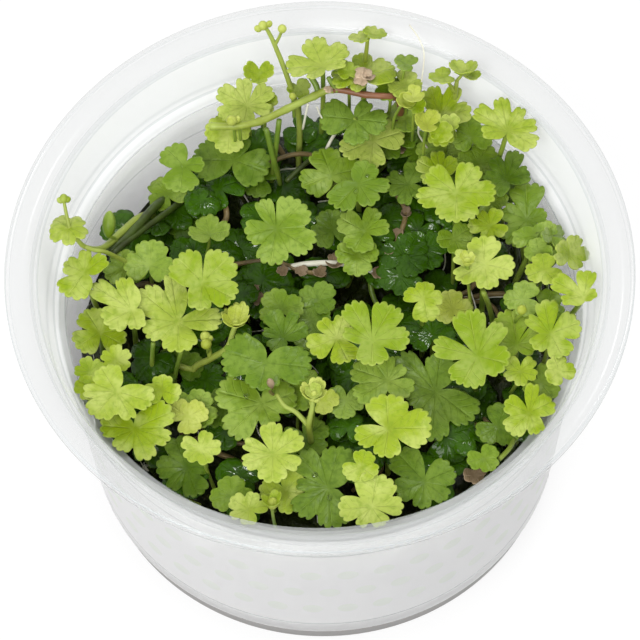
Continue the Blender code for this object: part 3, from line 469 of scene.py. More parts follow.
# Sprigs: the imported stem's name, leaf tone, stems as rows of place and radius, beads as place, radius, length
# and direction, and young leaves as place, heading, reach, lobes, lean, its direction, rise and stalk's root.
SPRIGS = (
    (
        "sprig_back_left",
        "pale",
        (
            (
                (-3.0, 31.0, 35.6, 0.5),
                (-2.6, 33.0, 49.0, 0.5),
                (-4.2, 36.0, 57.0, 0.45),
                (-6.1, 39.0, 62.4, 0.4),
                (-7.0, 40.2, 64.4, 0.35),
                (-7.6, 40.6, 65.6, 0.3),
            ),
            ((-6.1, 39.0, 62.4, 0.32), (-5.3, 39.6, 64.0, 0.26), (-4.9, 39.9, 65.2, 0.24)),
        ),
        (
            (-7.9, 40.6, 65.9, 0.8, 1.7, -0.2, 0.2, 1.0),
            (-8.7, 40.3, 65.5, 0.6, 1.4, -0.8, 0.0, 0.7),
            (-6.9, 40.8, 66.0, 0.55, 1.3, 0.5, 0.2, 0.9),
            (-4.8, 40.0, 65.7, 0.75, 1.5, 0.1, 0.1, 1.0),
        ),
        (),
    ),
    (
        "sprig_back",
        "bright",
        (
            (
                (8.0, 36.0, 35.6, 0.45),
                (8.2, 37.6, 46.0, 0.45),
                (8.4, 38.8, 52.0, 0.4),
                (8.7, 39.6, 57.0, 0.38),
                (9.1, 41.0, 60.6, 0.3),
            ),
        ),
        ((9.1, 41.0, 60.7, 0.45, 0.9, 0.0, 0.2, 1.0),),
        (
            (7.9, 41.0, 60.9, 165, 2.0, 3, 38, 115, 0.1, None),
            (10.2, 41.3, 61.3, 20, 2.1, 3, 38, 60, 0.1, None),
        ),
    ),
    (
        "sprig_back_right",
        "bright",
        (
            (
                (22.0, 29.5, 35.6, 0.45),
                (22.6, 30.6, 46.0, 0.45),
                (22.8, 31.4, 52.0, 0.42),
                (23.3, 33.0, 59.4, 0.36),
            ),
            ((23.3, 33.0, 59.4, 0.3), (24.0, 33.4, 60.2, 0.26), (24.4, 33.5, 60.8, 0.24)),
            ((23.0, 32.2, 57.0, 0.3), (21.8, 32.8, 59.6, 0.26), (21.2, 33.1, 60.2, 0.24)),
        ),
        (),
        (
            (20.9, 33.2, 60.5, 190, 2.3, 3, 30, 95, 0.1, None),
            (24.3, 33.6, 61.0, 20, 2.6, 3, 36, 90, 0.5, None),
            (25.8, 33.2, 60.4, 10, 1.5, 3, 30, 60, 0.3, (24.4, 33.5, 60.4)),
        ),
    ),
    (
        "sprig_left",
        "bright",
        (
            (
                (-26.5, 23.0, 36.0, 0.6),
                (-29.0, 18.6, 43.6, 0.6),
                (-32.0, 14.0, 46.8, 0.6),
                (-35.0, 9.2, 50.0, 0.5),
                (-37.6, 7.0, 54.6, 0.4),
                (-39.0, 7.4, 58.0, 0.36),
                (-39.7, 7.9, 59.6, 0.34),
            ),
            ((-39.6, 7.8, 59.4, 0.32), (-40.0, 9.6, 60.8, 0.28), (-40.3, 11.2, 61.8, 0.26)),
            ((-37.6, 7.0, 54.6, 0.36), (-36.0, 6.6, 54.0, 0.36), (-34.2, 6.8, 52.8, 0.36), (-31.0, 8.0, 47.0, 0.36)),
        ),
        (
            (-40.3, 11.6, 62.1, 0.7, 1.6, 0.0, 0.5, 1.0),
            (-39.7, 11.5, 61.9, 0.5, 1.2, 0.7, 0.4, 0.8),
            (-40.9, 11.4, 61.9, 0.5, 1.2, -0.7, 0.3, 0.8),
        ),
        ((-39.7, 7.8, 59.7, -90, 3.3, 5, 22, 100, -0.25, None),),
    ),
    (
        "sprig_middle",
        "pale",
        (
            (
                (-21.3, -11.5, 35.8, 0.5),
                (-20.9, -8.9, 41.0, 0.55),
                (-18.0, -8.2, 43.4, 0.55),
                (-15.2, -7.9, 46.4, 0.5),
                (-14.2, -6.6, 49.0, 0.45),
                (-13.8, -6.1, 50.2, 0.4),
            ),
            ((-20.9, -8.9, 41.0, 0.5), (-23.0, -8.4, 41.6, 0.5), (-25.6, -6.4, 41.0, 0.45), (-26.8, -6.0, 37.0, 0.45)),
            ((-18.0, -8.2, 43.4, 0.45), (-18.3, -7.0, 46.0, 0.4), (-18.4, -6.6, 47.4, 0.38)),
        ),
        (
            (-13.7, -5.8, 50.6, 0.7, 1.5, 0.2, 0.3, 1.0),
            (-18.6, -6.5, 47.9, 0.9, 1.9, -0.3, 0.2, 1.0),
            (-18.0, -6.8, 47.7, 0.6, 1.4, 0.7, 0.0, 0.7),
        ),
        (
            (-13.4, -5.6, 50.9, 60, 2.6, 3, 30, 110, 0.7, None),
            (-13.9, -5.7, 50.9, 190, 2.2, 3, 26, 60, 0.6, None),
        ),
    ),
    (
        "sprig_front",
        "pale",
        (
            (
                (-2.0, -22.0, 35.6, 0.55),
                (-2.3, -23.6, 45.0, 0.5),
                (-2.5, -23.8, 49.4, 0.48),
                (-1.9, -22.2, 52.0, 0.4),
                (-1.7, -21.2, 53.2, 0.36),
            ),
            ((-2.5, -23.8, 49.4, 0.45), (-4.4, -21.6, 49.8, 0.4), (-6.2, -20.4, 49.8, 0.36), (-7.4, -18.6, 50.4, 0.3)),
        ),
        (
            (-1.6, -20.9, 53.7, 0.8, 1.9, 0.1, 0.4, 1.0),
            (-1.1, -21.3, 53.5, 0.55, 1.3, 0.7, 0.2, 0.7),
        ),
        ((-1.4, -20.7, 54.0, 70, 2.2, 3, 24, 90, 0.6, None),),
    ),
)

# Buds: across, back as it looks, height, radius, length, direction and tone.
BUDS = (
    (-13.5, 32.0, 57.6, 0.9, 1.8, -0.3, 0.2, 1.0, "pale"),
    (-12.6, 32.2, 57.2, 0.6, 1.4, 0.5, 0.2, 1.0, "pale"),
    (-33.8, 13.5, 52.0, 1.1, 4.4, 0.1, 0.8, 0.6, "mid"),
    (-3.5, 36.3, 57.4, 0.6, 1.3, 0.0, 0.3, 1.0, "pale"),
    (23.5, 4.4, 56.6, 0.8, 1.5, 0.2, 0.4, 1.0, "pale"),
    (31.8, -4.6, 55.0, 0.8, 1.6, -0.2, 0.4, 1.0, "pale"),
    (-8.5, -37.5, 48.6, 0.9, 2.0, 0.2, 0.6, 0.8, "pale"),
    (-18.5, -9.0, 48.0, 0.9, 1.8, -0.4, 0.4, 0.8, "pale"),
    (-1.5, -18.5, 54.4, 0.6, 1.4, 0.2, 0.3, 1.0, "pale"),
    (-8.3, -16.3, 51.4, 0.6, 1.6, -0.3, 0.6, 0.7, "dead"),
)
BUD_STALK = 5.0

# Dead scraps: across, back as it looks, height, reach, lean and its direction.
SCRAPS = (
    (8.0, 40.6, 60.2, 1.6, 30, 90),
    (8.6, 39.4, 60.0, 1.3, 50, 20),
    (7.6, 38.8, 59.8, 1.2, 20, 200),
    (2.5, 37.5, 58.4, 0.9, 40, 40),
    (-11.0, 1.5, 40.6, 1.2, 20, 200),
    (-5.0, 0.5, 40.4, 1.2, 30, 20),
    (-10.0, -1.0, 40.2, 1.4, 10, 80),
    (-3.0, 4.0, 41.8, 1.1, 25, 300),
    (0.0, 3.5, 41.4, 1.2, 15, 30),
    (2.6, 5.0, 41.6, 1.5, 25, 120),
    (14.0, 26.5, 46.6, 1.2, 30, 60),
    (14.5, 14.0, 42.4, 1.0, 10, 60),
    (13.0, 10.5, 42.6, 1.0, 30, 200),
    (11.5, 7.0, 42.0, 1.0, 20, 100),
    (9.5, 3.0, 41.8, 1.3, 25, 10),
    (-6.0, 4.0, 42.0, 1.1, 25, 260),
    (23.5, -34.0, 44.0, 1.9, 15, 30),
)

# Water drops: across, back as it looks, height and width.
DROPS = (
    (-1.8, -33.0, 46.3, 1.2),
    (-0.3, -31.0, 46.2, 0.8),
    (2.3, -29.5, 45.8, 0.7),
    (0.4, -37.0, 46.2, 1.0),
    (-2.8, -38.5, 45.8, 0.8),
    (-13.9, -15.3, 46.7, 1.8),
    (-11.2, -16.2, 46.5, 1.0),
    (-12.3, -18.6, 46.6, 1.0),
    (13.8, 21.8, 46.6, 0.9),
    (6.3, 18.2, 50.2, 0.8),
    (8.3, 21.1, 50.3, 0.8),
)


def skin(rings, first, last):
    """Closed skin over a grid: its rows are rings from one end to the other, and a point closes each end.

    The first three numbers of each grid point are its place, and any others are kept with it.
    """
    rows, sides, channels = rings.shape
    at = 1 + np.arange(rows * sides).reshape(rows, sides)
    after = np.roll(at, -1, axis=1)
    end = rows * sides + 1
    quads = np.stack([at[:-1], at[1:], after[1:], after[:-1]], axis=-1).reshape(-1, 4)
    fans = np.concatenate([
        np.stack([np.zeros(sides, int), at[0], after[0]], axis=1),
        np.stack([np.full(sides, end), after[-1], at[-1]], axis=1),
    ])
    points = np.concatenate([first[None], rings.reshape(-1, channels), last[None]])
    return points, fans, quads


def wrap(rings):
    """Closed skin over a grid whose rows join up too, the last one with the first."""
    rows, sides, channels = rings.shape
    at = np.arange(rows * sides).reshape(rows, sides)
    after = np.roll(at, -1, axis=1)
    quads = np.stack([at, np.roll(at, -1, axis=0), np.roll(after, -1, axis=0), after], axis=-1)
    return rings.reshape(-1, channels), np.zeros((0, 3), int), quads.reshape(-1, 4)


def add_piece(name, skins, materials, slot, *nodes, smooth=True):
    """One object from skins, each with the number of its material. Its points are given in millimetres."""
    points, faces, finishes = [], [], []
    start = 0
    for (places, fans, quads), finish in skins:
        points.append(places)
        faces += (fans + start).tolist() + (quads + start).tolist()
        finishes.append(np.full(len(fans) + len(quads), finish))
        start += len(places)
    points = np.concatenate(points)
    mesh = bpy.data.meshes.new(name)
    mesh.from_pydata((points[:, :3] * MM).tolist(), [], faces)
    mesh.polygons.foreach_set("material_index", np.concatenate(finishes).astype(np.int32))
    mesh.polygons.foreach_set("use_smooth", np.full(len(faces), smooth))
    if points.shape[1] > 3:
        blade = mesh.attributes.new("blade", "FLOAT_VECTOR", "POINT")
        blade.data.foreach_set("vector", np.ascontiguousarray(points[:, 3:6], np.float32).ravel())
        tint = mesh.attributes.new("tint", "FLOAT", "POINT")
        tint.data.foreach_set("value", np.ascontiguousarray(points[:, 6], np.float32))
    for material in materials:
        mesh.materials.append(material)
    mesh.update()
    piece = bpy.data.objects.new(name, mesh)
    bpy.context.scene.collection.objects.link(piece)
    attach(piece, "root")
    if nodes:
        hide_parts(*nodes)
    return piece


def unit(vectors):
    """Vectors of length 1 along the given ones."""
    return vectors / np.linalg.norm(vectors, axis=-1, keepdims=True)


def turned(profile, sides=TURN_SIDES):
    """Body of revolution: each point of a radius and height profile goes once round the Z axis."""
    radius, height = np.array(profile).T[:, :, None]
    angle = -2 * np.pi * np.arange(sides)[None] / sides
    rings = np.stack([radius * np.cos(angle), radius * np.sin(angle), height + 0 * angle], axis=-1)
    return rings


def curve_through(points, steps):
    """Smooth Catmull-Rom curve: steps points between two given ones, each a blend of the nearest four."""
    rows = np.array(points, float)
    rows = np.concatenate([2 * rows[:1] - rows[1:2], rows, 2 * rows[-1:] - rows[-2:-1]])
    t = (np.arange(steps) / steps)[None, :, None]
    a, b, c, d = (rows[n : len(rows) - 3 + n, None] for n in range(4))
    run = 0.5 * (2 * b + (c - a) * t + (2 * a - 5 * b + 4 * c - d) * t**2 + (3 * b - a - 3 * c + d) * t**3)
    return np.concatenate([run.reshape(-1, rows.shape[1]), rows[-2:-1]])


def tube(path, radius, sides=8, tint=0.0, start_share=0.0, end_share=1.0):
    """Round stem: a circle square to the path at each of its points, on two axes taken from the path's plane."""
    path = np.asarray(path, float)
    radius = np.broadcast_to(np.asarray(radius, float), len(path))
    ahead = unit(np.gradient(path, axis=0))
    flat = np.linalg.svd(path - path.mean(axis=0))[2][2]
    side = unit(np.cross(ahead, flat))
    other = np.cross(side, ahead)
    angle = 2 * np.pi * np.arange(sides) / sides
    round_ = np.cos(angle)[None, :, None] * side[:, None] + np.sin(angle)[None, :, None] * other[:, None]
    places = path[:, None] + radius[:, None, None] * round_
    along = np.linspace(start_share, end_share, len(path))
    notes = np.zeros((len(path), sides, 4))
    notes[..., 0] = (angle / (2 * np.pi))[None]
    notes[..., 1] = along[:, None]
    notes[..., 3] = tint
    grid = np.concatenate([places, notes], axis=-1)
    ends = []
    for n, back in ((0, -1), (-1, 1)):
        tip = path[n] + back * ahead[n] * radius[n] * 0.4
        ends.append(np.array([*tip, 0.0, along[n], 0.0, tint]))
    return skin(grid, *ends)


def blade_slope(leaf):
    """The normal of a leaf's blade, and how fast the blade rises along X and along Y."""
    lean, toward = np.radians([leaf.lean, leaf.toward])
    normal = np.array([np.sin(lean) * np.cos(toward), np.sin(lean) * np.sin(toward), np.cos(lean)])
    return normal, -normal[0] / normal[2], -normal[1] / normal[2]


def leaf_edge(leaf, tooth, depth, steps):
    """A leaf's edge as angle, radius, place across its lobe from -1 to 1, and fold from 0 in a cut to 1.

    A lobe's edge is its reach times 1.01 - 0.2 |s|^3.5, cut by rounded teeth, |sin| along the edge. From its
    shoulders, which take up part of the gaps beside the lobe, the edge runs straight in to each cut. Each
    tooth, and each run to a cut, has as many points as there are steps.
    """
    edge = []
    inward = np.linspace(0.0, 1.0, steps)[1:]
    lobes = leaf.lobes
    for n, (at, reach, half) in enumerate(lobes):
        before, reach_before, half_before = lobes[n - 1]
        after, reach_after, half_after = lobes[(n + 1) % len(lobes)]
        gap = (at - half - before - half_before) % 360
        gap_after = (after - half_after - at - half) % 360
        cuts = []
        for size, beside, wide in ((reach, reach_before, gap), (reach, reach_after, gap_after)):
            cuts.append(min(size, beside) * (WIDE_CUT if wide > WIDE_GAP else CUT))
        if n == 0:
            cuts[0] = SINUS
        if n == len(lobes) - 1:
            cuts[1] = SINUS
        slit = min(2.0, half / 8)
        back, ahead = (half - slit + LOBE_SPREAD * min(side, WIDE_GAP) for side in (gap, gap_after))
        teeth = max(2, round(math.radians(back + ahead) * reach / tooth))
        s = np.linspace(-1.0, 1.0, steps * teeth + 1)
        scallop = 1 - depth * (1 - np.abs(np.sin(np.pi * teeth * (s + 1) / 2))) ** 1.5
        lobe = reach * (1.01 - 0.2 * np.abs(s) ** 3.5) * scallop
        shoulder = lobe[0]
        up = inward[::-1]
        down = inward[:-1]
        edge.append(np.stack([
            at - back - (gap / 2 + half - back) * up,
            shoulder + (cuts[0] - shoulder) * up,
            np.full(len(up), -1.0),
            1 - up,
        ], axis=1))
        edge.append(np.stack([at + np.where(s < 0, back, ahead) * s, lobe, s, np.ones_like(s)], axis=1))
        edge.append(np.stack([
            at + ahead + (gap_after / 2 + half - ahead) * down,
            shoulder + (cuts[1] - shoulder) * down,
            np.full(len(down), 1.0),
            1 - down,
        ], axis=1))
    edge = np.concatenate(edge)
    return np.unwrap(np.radians(edge[:, 0])), edge[:, 1], edge[:, 2], edge[:, 3]


def leaf_skin(leaf, look, tint, rng, rings=LEAF_RINGS, steps=6, toothed=1.0):
    """One blade: rings of its edge drawn in towards the middle, over the top and back along the underside.

    Its height is a dip in the middle, a rise or droop with the square of the distance, a fold down to each
    cut, a groove along each lobe's midrib, low puckers between the side veins and a slow waver of its own.
    """
    normal, along_x, along_y = blade_slope(leaf)
    angle, radius, across, fold = leaf_edge(leaf, look.tooth / MM, toothed * look.tooth_depth, steps)
    size = max(reach for _, reach, _ in leaf.lobes)
    share = np.array(rings)[:, None]
    r = share * radius[None]
    out = r / size
    s = np.abs(across)[None]
    turn = angle[None]
    waver = rng.uniform(0, 2 * np.pi, 4)
    height = -CENTRE_DIP * size * np.exp(-((out / 0.28) ** 2))
    height = height + leaf.rise * r**2 / size
    height = height + look.fold * size * (fold[None] * (1 - 0.4 * s**4) - 0.5) * out
    height = height - 0.014 * size * np.exp(-((s / 0.14) ** 2)) * np.clip(out * 1.5, 0, 1)
    height = height + 0.008 * size * np.cos(2 * np.pi * (out * 4.5 - s * 1.7)) * np.clip(out * 2, 0, 1)
    height = height + 0.045 * size * np.sin(2 * turn + waver[0]) * out**2
    height = height + 0.03 * size * np.sin(5 * turn + waver[1]) * out**3
    height = height + 0.02 * size * np.sin(9 * turn + waver[2]) * share**6
    x = r * np.cos(turn)
    seen = 1 + SEEN_RISE * along_y
    if not leaf.name:
        seen = max(seen, math.hypot(1.0, along_y) / MOST_STRETCH)
    y = (r * np.sin(turn) - SEEN_RISE * along_x * x) / seen
    middle = np.array([leaf.x, leaf.y, leaf.z])
    top = middle + np.stack([x, y, along_x * x + along_y * y], axis=-1) + height[..., None] * normal
    thick = look.blade / MM * (1.15 - 0.65 * share**2)
    low = np.unique([0, len(rings) // 3, len(rings) * 2 // 3, len(rings) - 1])[::-1]
    bottom = (top - thick[..., None] * normal)[low]
    notes = np.stack([np.broadcast_to(s, r.shape), np.broadcast_to(share, r.shape), out], axis=-1)
    notes = np.concatenate([notes, np.full((*r.shape, 1), tint)], axis=-1)
    grid = np.concatenate([
        np.concatenate([top, notes], axis=-1),
        np.concatenate([bottom, notes[low]], axis=-1),
    ])
    centre = middle - CENTRE_DIP * size * normal
    first = np.array([*centre, 0.5, 0.0, 0.0, tint])
    last = np.array([*(centre - 1.15 * look.blade / MM * normal), 0.5, 0.0, 0.0, tint])
    return skin(grid, first, last), centre, normal


def mat_height(x, y):
    """Height of the root mat's top: two slow rolls across the cup."""
    rolls = 1.4 * np.sin(0.33 * x + 1.0) * np.cos(0.29 * y)
    return MAT_TOP + rolls + 0.6 * np.sin(0.71 * x - 0.48 * y)


def inner_radius(z):
    """Radius of the cup's inner wall at a height."""
    heights, radii = np.array(INNER_WALL).T
    return np.interp(z, heights, radii)


def packed_stalk(leaf):
    """Path of a leaf's packed stalk, a curve from the blade's middle over a knee under it to its foot.

    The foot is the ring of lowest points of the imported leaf, and the bend is the one whose curve runs
    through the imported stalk's middle ring.
    """
    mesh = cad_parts[leaf.name].data
    places = np.empty(len(mesh.vertices) * 3)
    mesh.vertices.foreach_get("co", places)
    places = np.unique(np.round(places.reshape(-1, 3) / MM, 3), axis=0)
    foot = places[places[:, 2] < places[:, 2].min() + 0.02].mean(axis=0)
    start = np.array([leaf.x, leaf.y, leaf.z])
    normal = blade_slope(leaf)[0]

    def curve(bend, t):
        knee = start - normal * bend * (leaf.z - foot[2])
        t = np.asarray(t)[:, None]
        return (1 - t) ** 2 * start + 2 * t * (1 - t) * knee + t**2 * foot

    misses = []
    for bend in STALK_BENDS:
        gaps = np.sort(np.linalg.norm(places - curve(bend, [0.4]), axis=1))[:4]
        misses.append(abs(gaps - STALK_RADIUS).max())
    path = curve(STALK_BENDS[int(np.argmin(misses))], np.linspace(0.0, 1.0, 15))
    path[-1, 2] -= FOOT_SINK
    return path


def free_stalk(leaf, rng, spread=3.0):
    """Path of a young leaf's stalk: a curve from under its blade to a place on the mat near by."""
    start = np.array([leaf.x, leaf.y, leaf.z])
    aside = rng.uniform(-spread, spread, 2)
    foot = start[:2] + aside
    foot = foot * min(1.0, FOOT_REACH / math.hypot(*foot))
    foot = np.array([*foot, mat_height(*foot) - FOOT_SINK])
    knee = start - blade_slope(leaf)[0] * 0.4 * (leaf.z - foot[2])
    t = np.linspace(0.0, 1.0, 11)[:, None]
    return (1 - t) ** 2 * start + 2 * t * (1 - t) * knee + t**2 * foot


def leaf_skins(leaf, look, rng, path, radius, **form):
    """A leaf's blade with its stalk. The stalk stops a little under the blade's dipped middle."""
    # A packed leaf's listed tint is partly painted light and shade; any other leaf's is a chance difference of its own
    # green.
    tint = LEAF_TINTS_AND_PAINTED_LIGHT.get(leaf.name, rng.uniform(-0.5, 0.6))
    blade, centre, normal = leaf_skin(leaf, look, tint, rng, **form)
    path = path.copy()
    path[0] = centre - 0.9 * look.blade / MM * normal
    radii = np.linspace(0.8, 1.1, len(path)) * radius
    return [(blade, 0), (tube(path, radii, 8, tint), 1)]


def lift(across, back, z):
    """Real place of what looks to be at (across, back) at that height, seen from above the front."""
    return np.array([across, back - SEEN_RISE * (z - 50.0), z])


def inside_wall(x, y, z, reach):
    """Place moved in towards the axis, so that a blade of that reach stays clear of the cup's wall."""
    room = inner_radius(z) - 0.85 * reach - 0.4
    share = min(1.0, room / math.hypot(x, y)) if z < CUP_HEIGHT else 1.0
    return x * share, y * share


def plain_lobes(reach, heading, count, rng):
    """Lobes of a young leaf, evenly set about its middle lobe, with small chance differences."""
    apart, half = {3: (108, 48), 5: (66, 30)}[count]
    middle = (count - 1) / 2
    lobes = []
    for n in range(count):
        turn = heading + (n - middle) * apart + rng.uniform(-4, 4)
        lobes.append((turn % 360, reach * rng.uniform(0.88, 1.04), half + rng.uniform(-3, 3)))
    return tuple(lobes)


class Graph:
    """Short ways to add the nodes of one material."""

    def __init__(self, name):
        self.material = bpy.data.materials.new(name)
        self.material.use_nodes = True
        self.nodes = self.material.node_tree.nodes
        self.links = self.material.node_tree.links
        self.shader = self.nodes["Principled BSDF"]

    def set(self, **values):
        for name, value in values.items():
            socket = self.shader.inputs[name.replace("_", " ")]
            self.feed(socket, value)
        return self.material

    def feed(self, socket, value):
        if isinstance(value, bpy.types.NodeSocket):
            self.links.new(value, socket)
        elif isinstance(value, tuple) and len(value) == 3 and socket.type == "RGBA":
            socket.default_value = (*value, 1.0)
        else:
            socket.default_value = value

    def math(self, what, *values, clamp=False):
        node = self.nodes.new("ShaderNodeMath")
        node.operation = what
        node.use_clamp = clamp
        for socket, value in zip(node.inputs, values):
            self.feed(socket, value)
        return node.outputs[0]

    def mix(self, share, low, high):
        node = self.nodes.new("ShaderNodeMix")
        node.data_type = "RGBA"
        self.feed(node.inputs["Factor"], share)
        self.feed(node.inputs[6], low)
        self.feed(node.inputs[7], high)
        return node.outputs[2]

    def smooth(self, value, low, high):
        """0 below low, 1 above high, and a smooth step between them."""
        node = self.nodes.new("ShaderNodeMapRange")
        node.interpolation_type = "SMOOTHSTEP"
        self.feed(node.inputs["Value"], value)
        node.inputs["From Min"].default_value = low
        node.inputs["From Max"].default_value = high
        return node.outputs["Result"]

    def noise(self, scale, detail=3.0, stretch=(1.0, 1.0, 1.0), shift=0.0):
        place = self.nodes.new("ShaderNodeTexCoord").outputs["Object"]
        mapping = self.nodes.new("ShaderNodeMapping")
        mapping.inputs["Scale"].default_value = stretch
        mapping.inputs["Location"].default_value = (shift, shift, shift)
        self.links.new(place, mapping.inputs["Vector"])
        node = self.nodes.new("ShaderNodeTexNoise")
        node.inputs["Scale"].default_value = scale
        node.inputs["Detail"].default_value = detail
        self.links.new(mapping.outputs["Vector"], node.inputs["Vector"])
        return node.outputs["Fac"]

    def note(self, name):
        node = self.nodes.new("ShaderNodeAttribute")
        node.attribute_name = name
        return node

    def blade(self):
        """The three numbers that every plant skin carries: across, share of the way out or along, distance."""
        split = self.nodes.new("ShaderNodeSeparateXYZ")
        self.links.new(self.note("blade").outputs["Vector"], split.inputs[0])
        return split.outputs

    def bump(self, height, strength, distance):
        node = self.nodes.new("ShaderNodeBump")
        node.inputs["Strength"].default_value = strength
        node.inputs["Distance"].default_value = distance
        self.feed(node.inputs["Height"], height)
        return node.outputs["Normal"]


def shade(colour, factor):
    """A colour made lighter or darker by one factor."""
    return tuple(min(1.0, channel * factor) for channel in colour)


def leaf_finish(name, body, pale, deep, rough, gloss):
    """Leaf: deeper at the middle, paler along veins and margin, mottled, each leaf a little unlike the next."""
    g = Graph(name)
    s, share, out = g.blade()
    tint = g.note("tint").outputs["Fac"]
    mottle = g.noise(1100.0, 5.0)
    patches = g.noise(230.0, 3.0, shift=3.0)
    colour = g.mix(g.smooth(out, 0.0, 0.45), shade(body, 0.78), body)
    colour = g.mix(g.math("MULTIPLY", g.smooth(patches, 0.42, 0.64), 0.75), colour, pale)
    # The tint lightens or deepens each leaf: a chance difference of colour, and for listed packed leaves partly
    # painted light and shade.
    colour = g.mix(g.math("MULTIPLY", g.smooth(tint, 0.0, 1.0), 0.7), colour, pale)
    darker = g.math("MULTIPLY", g.smooth(g.math("MULTIPLY", tint, -1.0), 0.0, 1.0), 0.7)
    colour = g.mix(darker, colour, deep)
    wave = g.math("SINE", g.math("MULTIPLY", g.math("SUBTRACT", g.math("MULTIPLY", out, 4.5),
                                                    g.math("MULTIPLY", s, 1.7)), 6.2832))
    side = g.math("MULTIPLY", g.smooth(wave, 0.82, 1.0), g.smooth(out, 0.2, 0.5))
    rib = g.math("SUBTRACT", 1.0, g.smooth(s, 0.015, 0.09))
    veins = g.math("MAXIMUM", g.math("MULTIPLY", side, 0.6), rib)
    veins = g.math("MULTIPLY", veins, g.math("SUBTRACT", 1.0, g.smooth(share, 0.8, 1.0)))
    colour = g.mix(g.math("MULTIPLY", veins, 0.2), colour, shade(pale, 1.1))
    colour = g.mix(g.math("MULTIPLY", g.smooth(share, 0.9, 1.0), 0.3), colour, shade(pale, 1.15))
    colour = g.mix(g.math("MULTIPLY", g.smooth(mottle, 0.45, 0.7), 0.4), colour, deep)
    roughness = g.math("MULTIPLY", rough, g.math("ADD", 0.7, g.math("MULTIPLY", mottle, 0.7)))
    height = g.math("SUBTRACT", g.math("MULTIPLY", mottle, 0.35), veins)
    return g.set(
        Base_Color=colour,
        Roughness=roughness,
        Specular_IOR_Level=gloss,
        Normal=g.bump(height, 0.6, 0.0002),
    )


def stem_finish(name, young, old, rough=0.38):
    """Stem: long fine streaks along it, and patches of an older colour."""
    g = Graph(name)
    streaks = g.noise(900.0, 3.0, (1.0, 1.0, 0.25))
    patches = g.noise(160.0, 3.0, shift=7.0)
    colour = g.mix(g.smooth(patches, 0.35, 0.7), young, old)
    colour = g.mix(g.math("MULTIPLY", g.smooth(streaks, 0.5, 0.75), 0.35), colour, shade(young, 1.3))
    return g.set(
        Base_Color=colour,
        Roughness=rough,
        Specular_IOR_Level=0.35,
        Normal=g.bump(streaks, 0.3, 0.0001),
    )


def mat_finish(name):
    """Root mat: wet peat and rotted stems, mottled with brown and moss green; its near-black is partly painted shade
    of the deep gaps between the leaves.
    """
    g = Graph(name)
    broad = g.noise(110.0, 4.0)
    fine = g.noise(900.0, 5.0, shift=2.0)
    fibres = g.noise(700.0, 3.0, (1.0, 0.18, 1.0), shift=5.0)
    # Near-black greens: the peat's own dark colour, deepened as painted shade of the gaps deep in the cup.
    colour = g.mix(g.smooth(broad, 0.4, 0.65), (0.008, 0.011, 0.002), (0.026, 0.038, 0.006))
    colour = g.mix(g.smooth(fine, 0.55, 0.85), colour, (0.06, 0.045, 0.015))
    colour = g.mix(g.math("MULTIPLY", g.smooth(fibres, 0.58, 0.7), 0.5), colour, (0.09, 0.09, 0.025))
    roughness = g.math("SUBTRACT", 0.5, g.math("MULTIPLY", broad, 0.6))
    gloss = g.math("ADD", 0.08, g.math("MULTIPLY", g.smooth(broad, 0.52, 0.6), 0.4))
    return g.set(
        Base_Color=colour,
        Roughness=roughness,
        Specular_IOR_Level=gloss,
        Normal=g.bump(g.math("ADD", fine, fibres), 0.8, 0.0006),
    )


def plastic_finish(name, grey=0.86, share=0.34):
    """Clear moulded plastic, faintly hazy, with a slow ripple: how white its haze is, and its share."""
    g = Graph(name)
    ripple = g.noise(40.0, 2.0, (1.0, 1.0, 0.3))
    return g.set(
        Base_Color=(grey, grey * 1.02, grey * 1.02),
        Roughness=0.16,
        Alpha=share,
        Specular_IOR_Level=0.5,
        Normal=g.bump(ripple, 0.12, 0.0004),
    )


def corner_finish(name):
    """Sharp corner of the cup, where more plastic lies behind each point; its darker grey is a painted reflection,
    standing for the edge lines that clear plastic refracts and reflects there.
    """
    g = Graph(name)
    grain = g.noise(500.0, 2.0)
    # A darker grey than the walls: painted edge lines of refraction and reflection, over the denser plastic's own
    # haze.
    colour = g.mix(grain, (0.50, 0.535, 0.54), (0.58, 0.615, 0.62))
    return g.set(Base_Color=colour, Roughness=0.12, Alpha=0.42, Specular_IOR_Level=0.6)


def foot_finish(name):
    """Foot of the cup below its wrap: opaque brownish grey for the gel seen through it, darker than the gel as painted
    shade low at the foot.
    """
    g = Graph(name)
    cloud = g.noise(160.0, 3.0)
    # Darker and greyer than the gel's own brown: painted shade at the foot of the cup.
    colour = g.mix(cloud, (0.13, 0.122, 0.116), (0.18, 0.17, 0.162))
    return g.set(Base_Color=colour, Roughness=0.3, Alpha=1.0, Specular_IOR_Level=0.5)


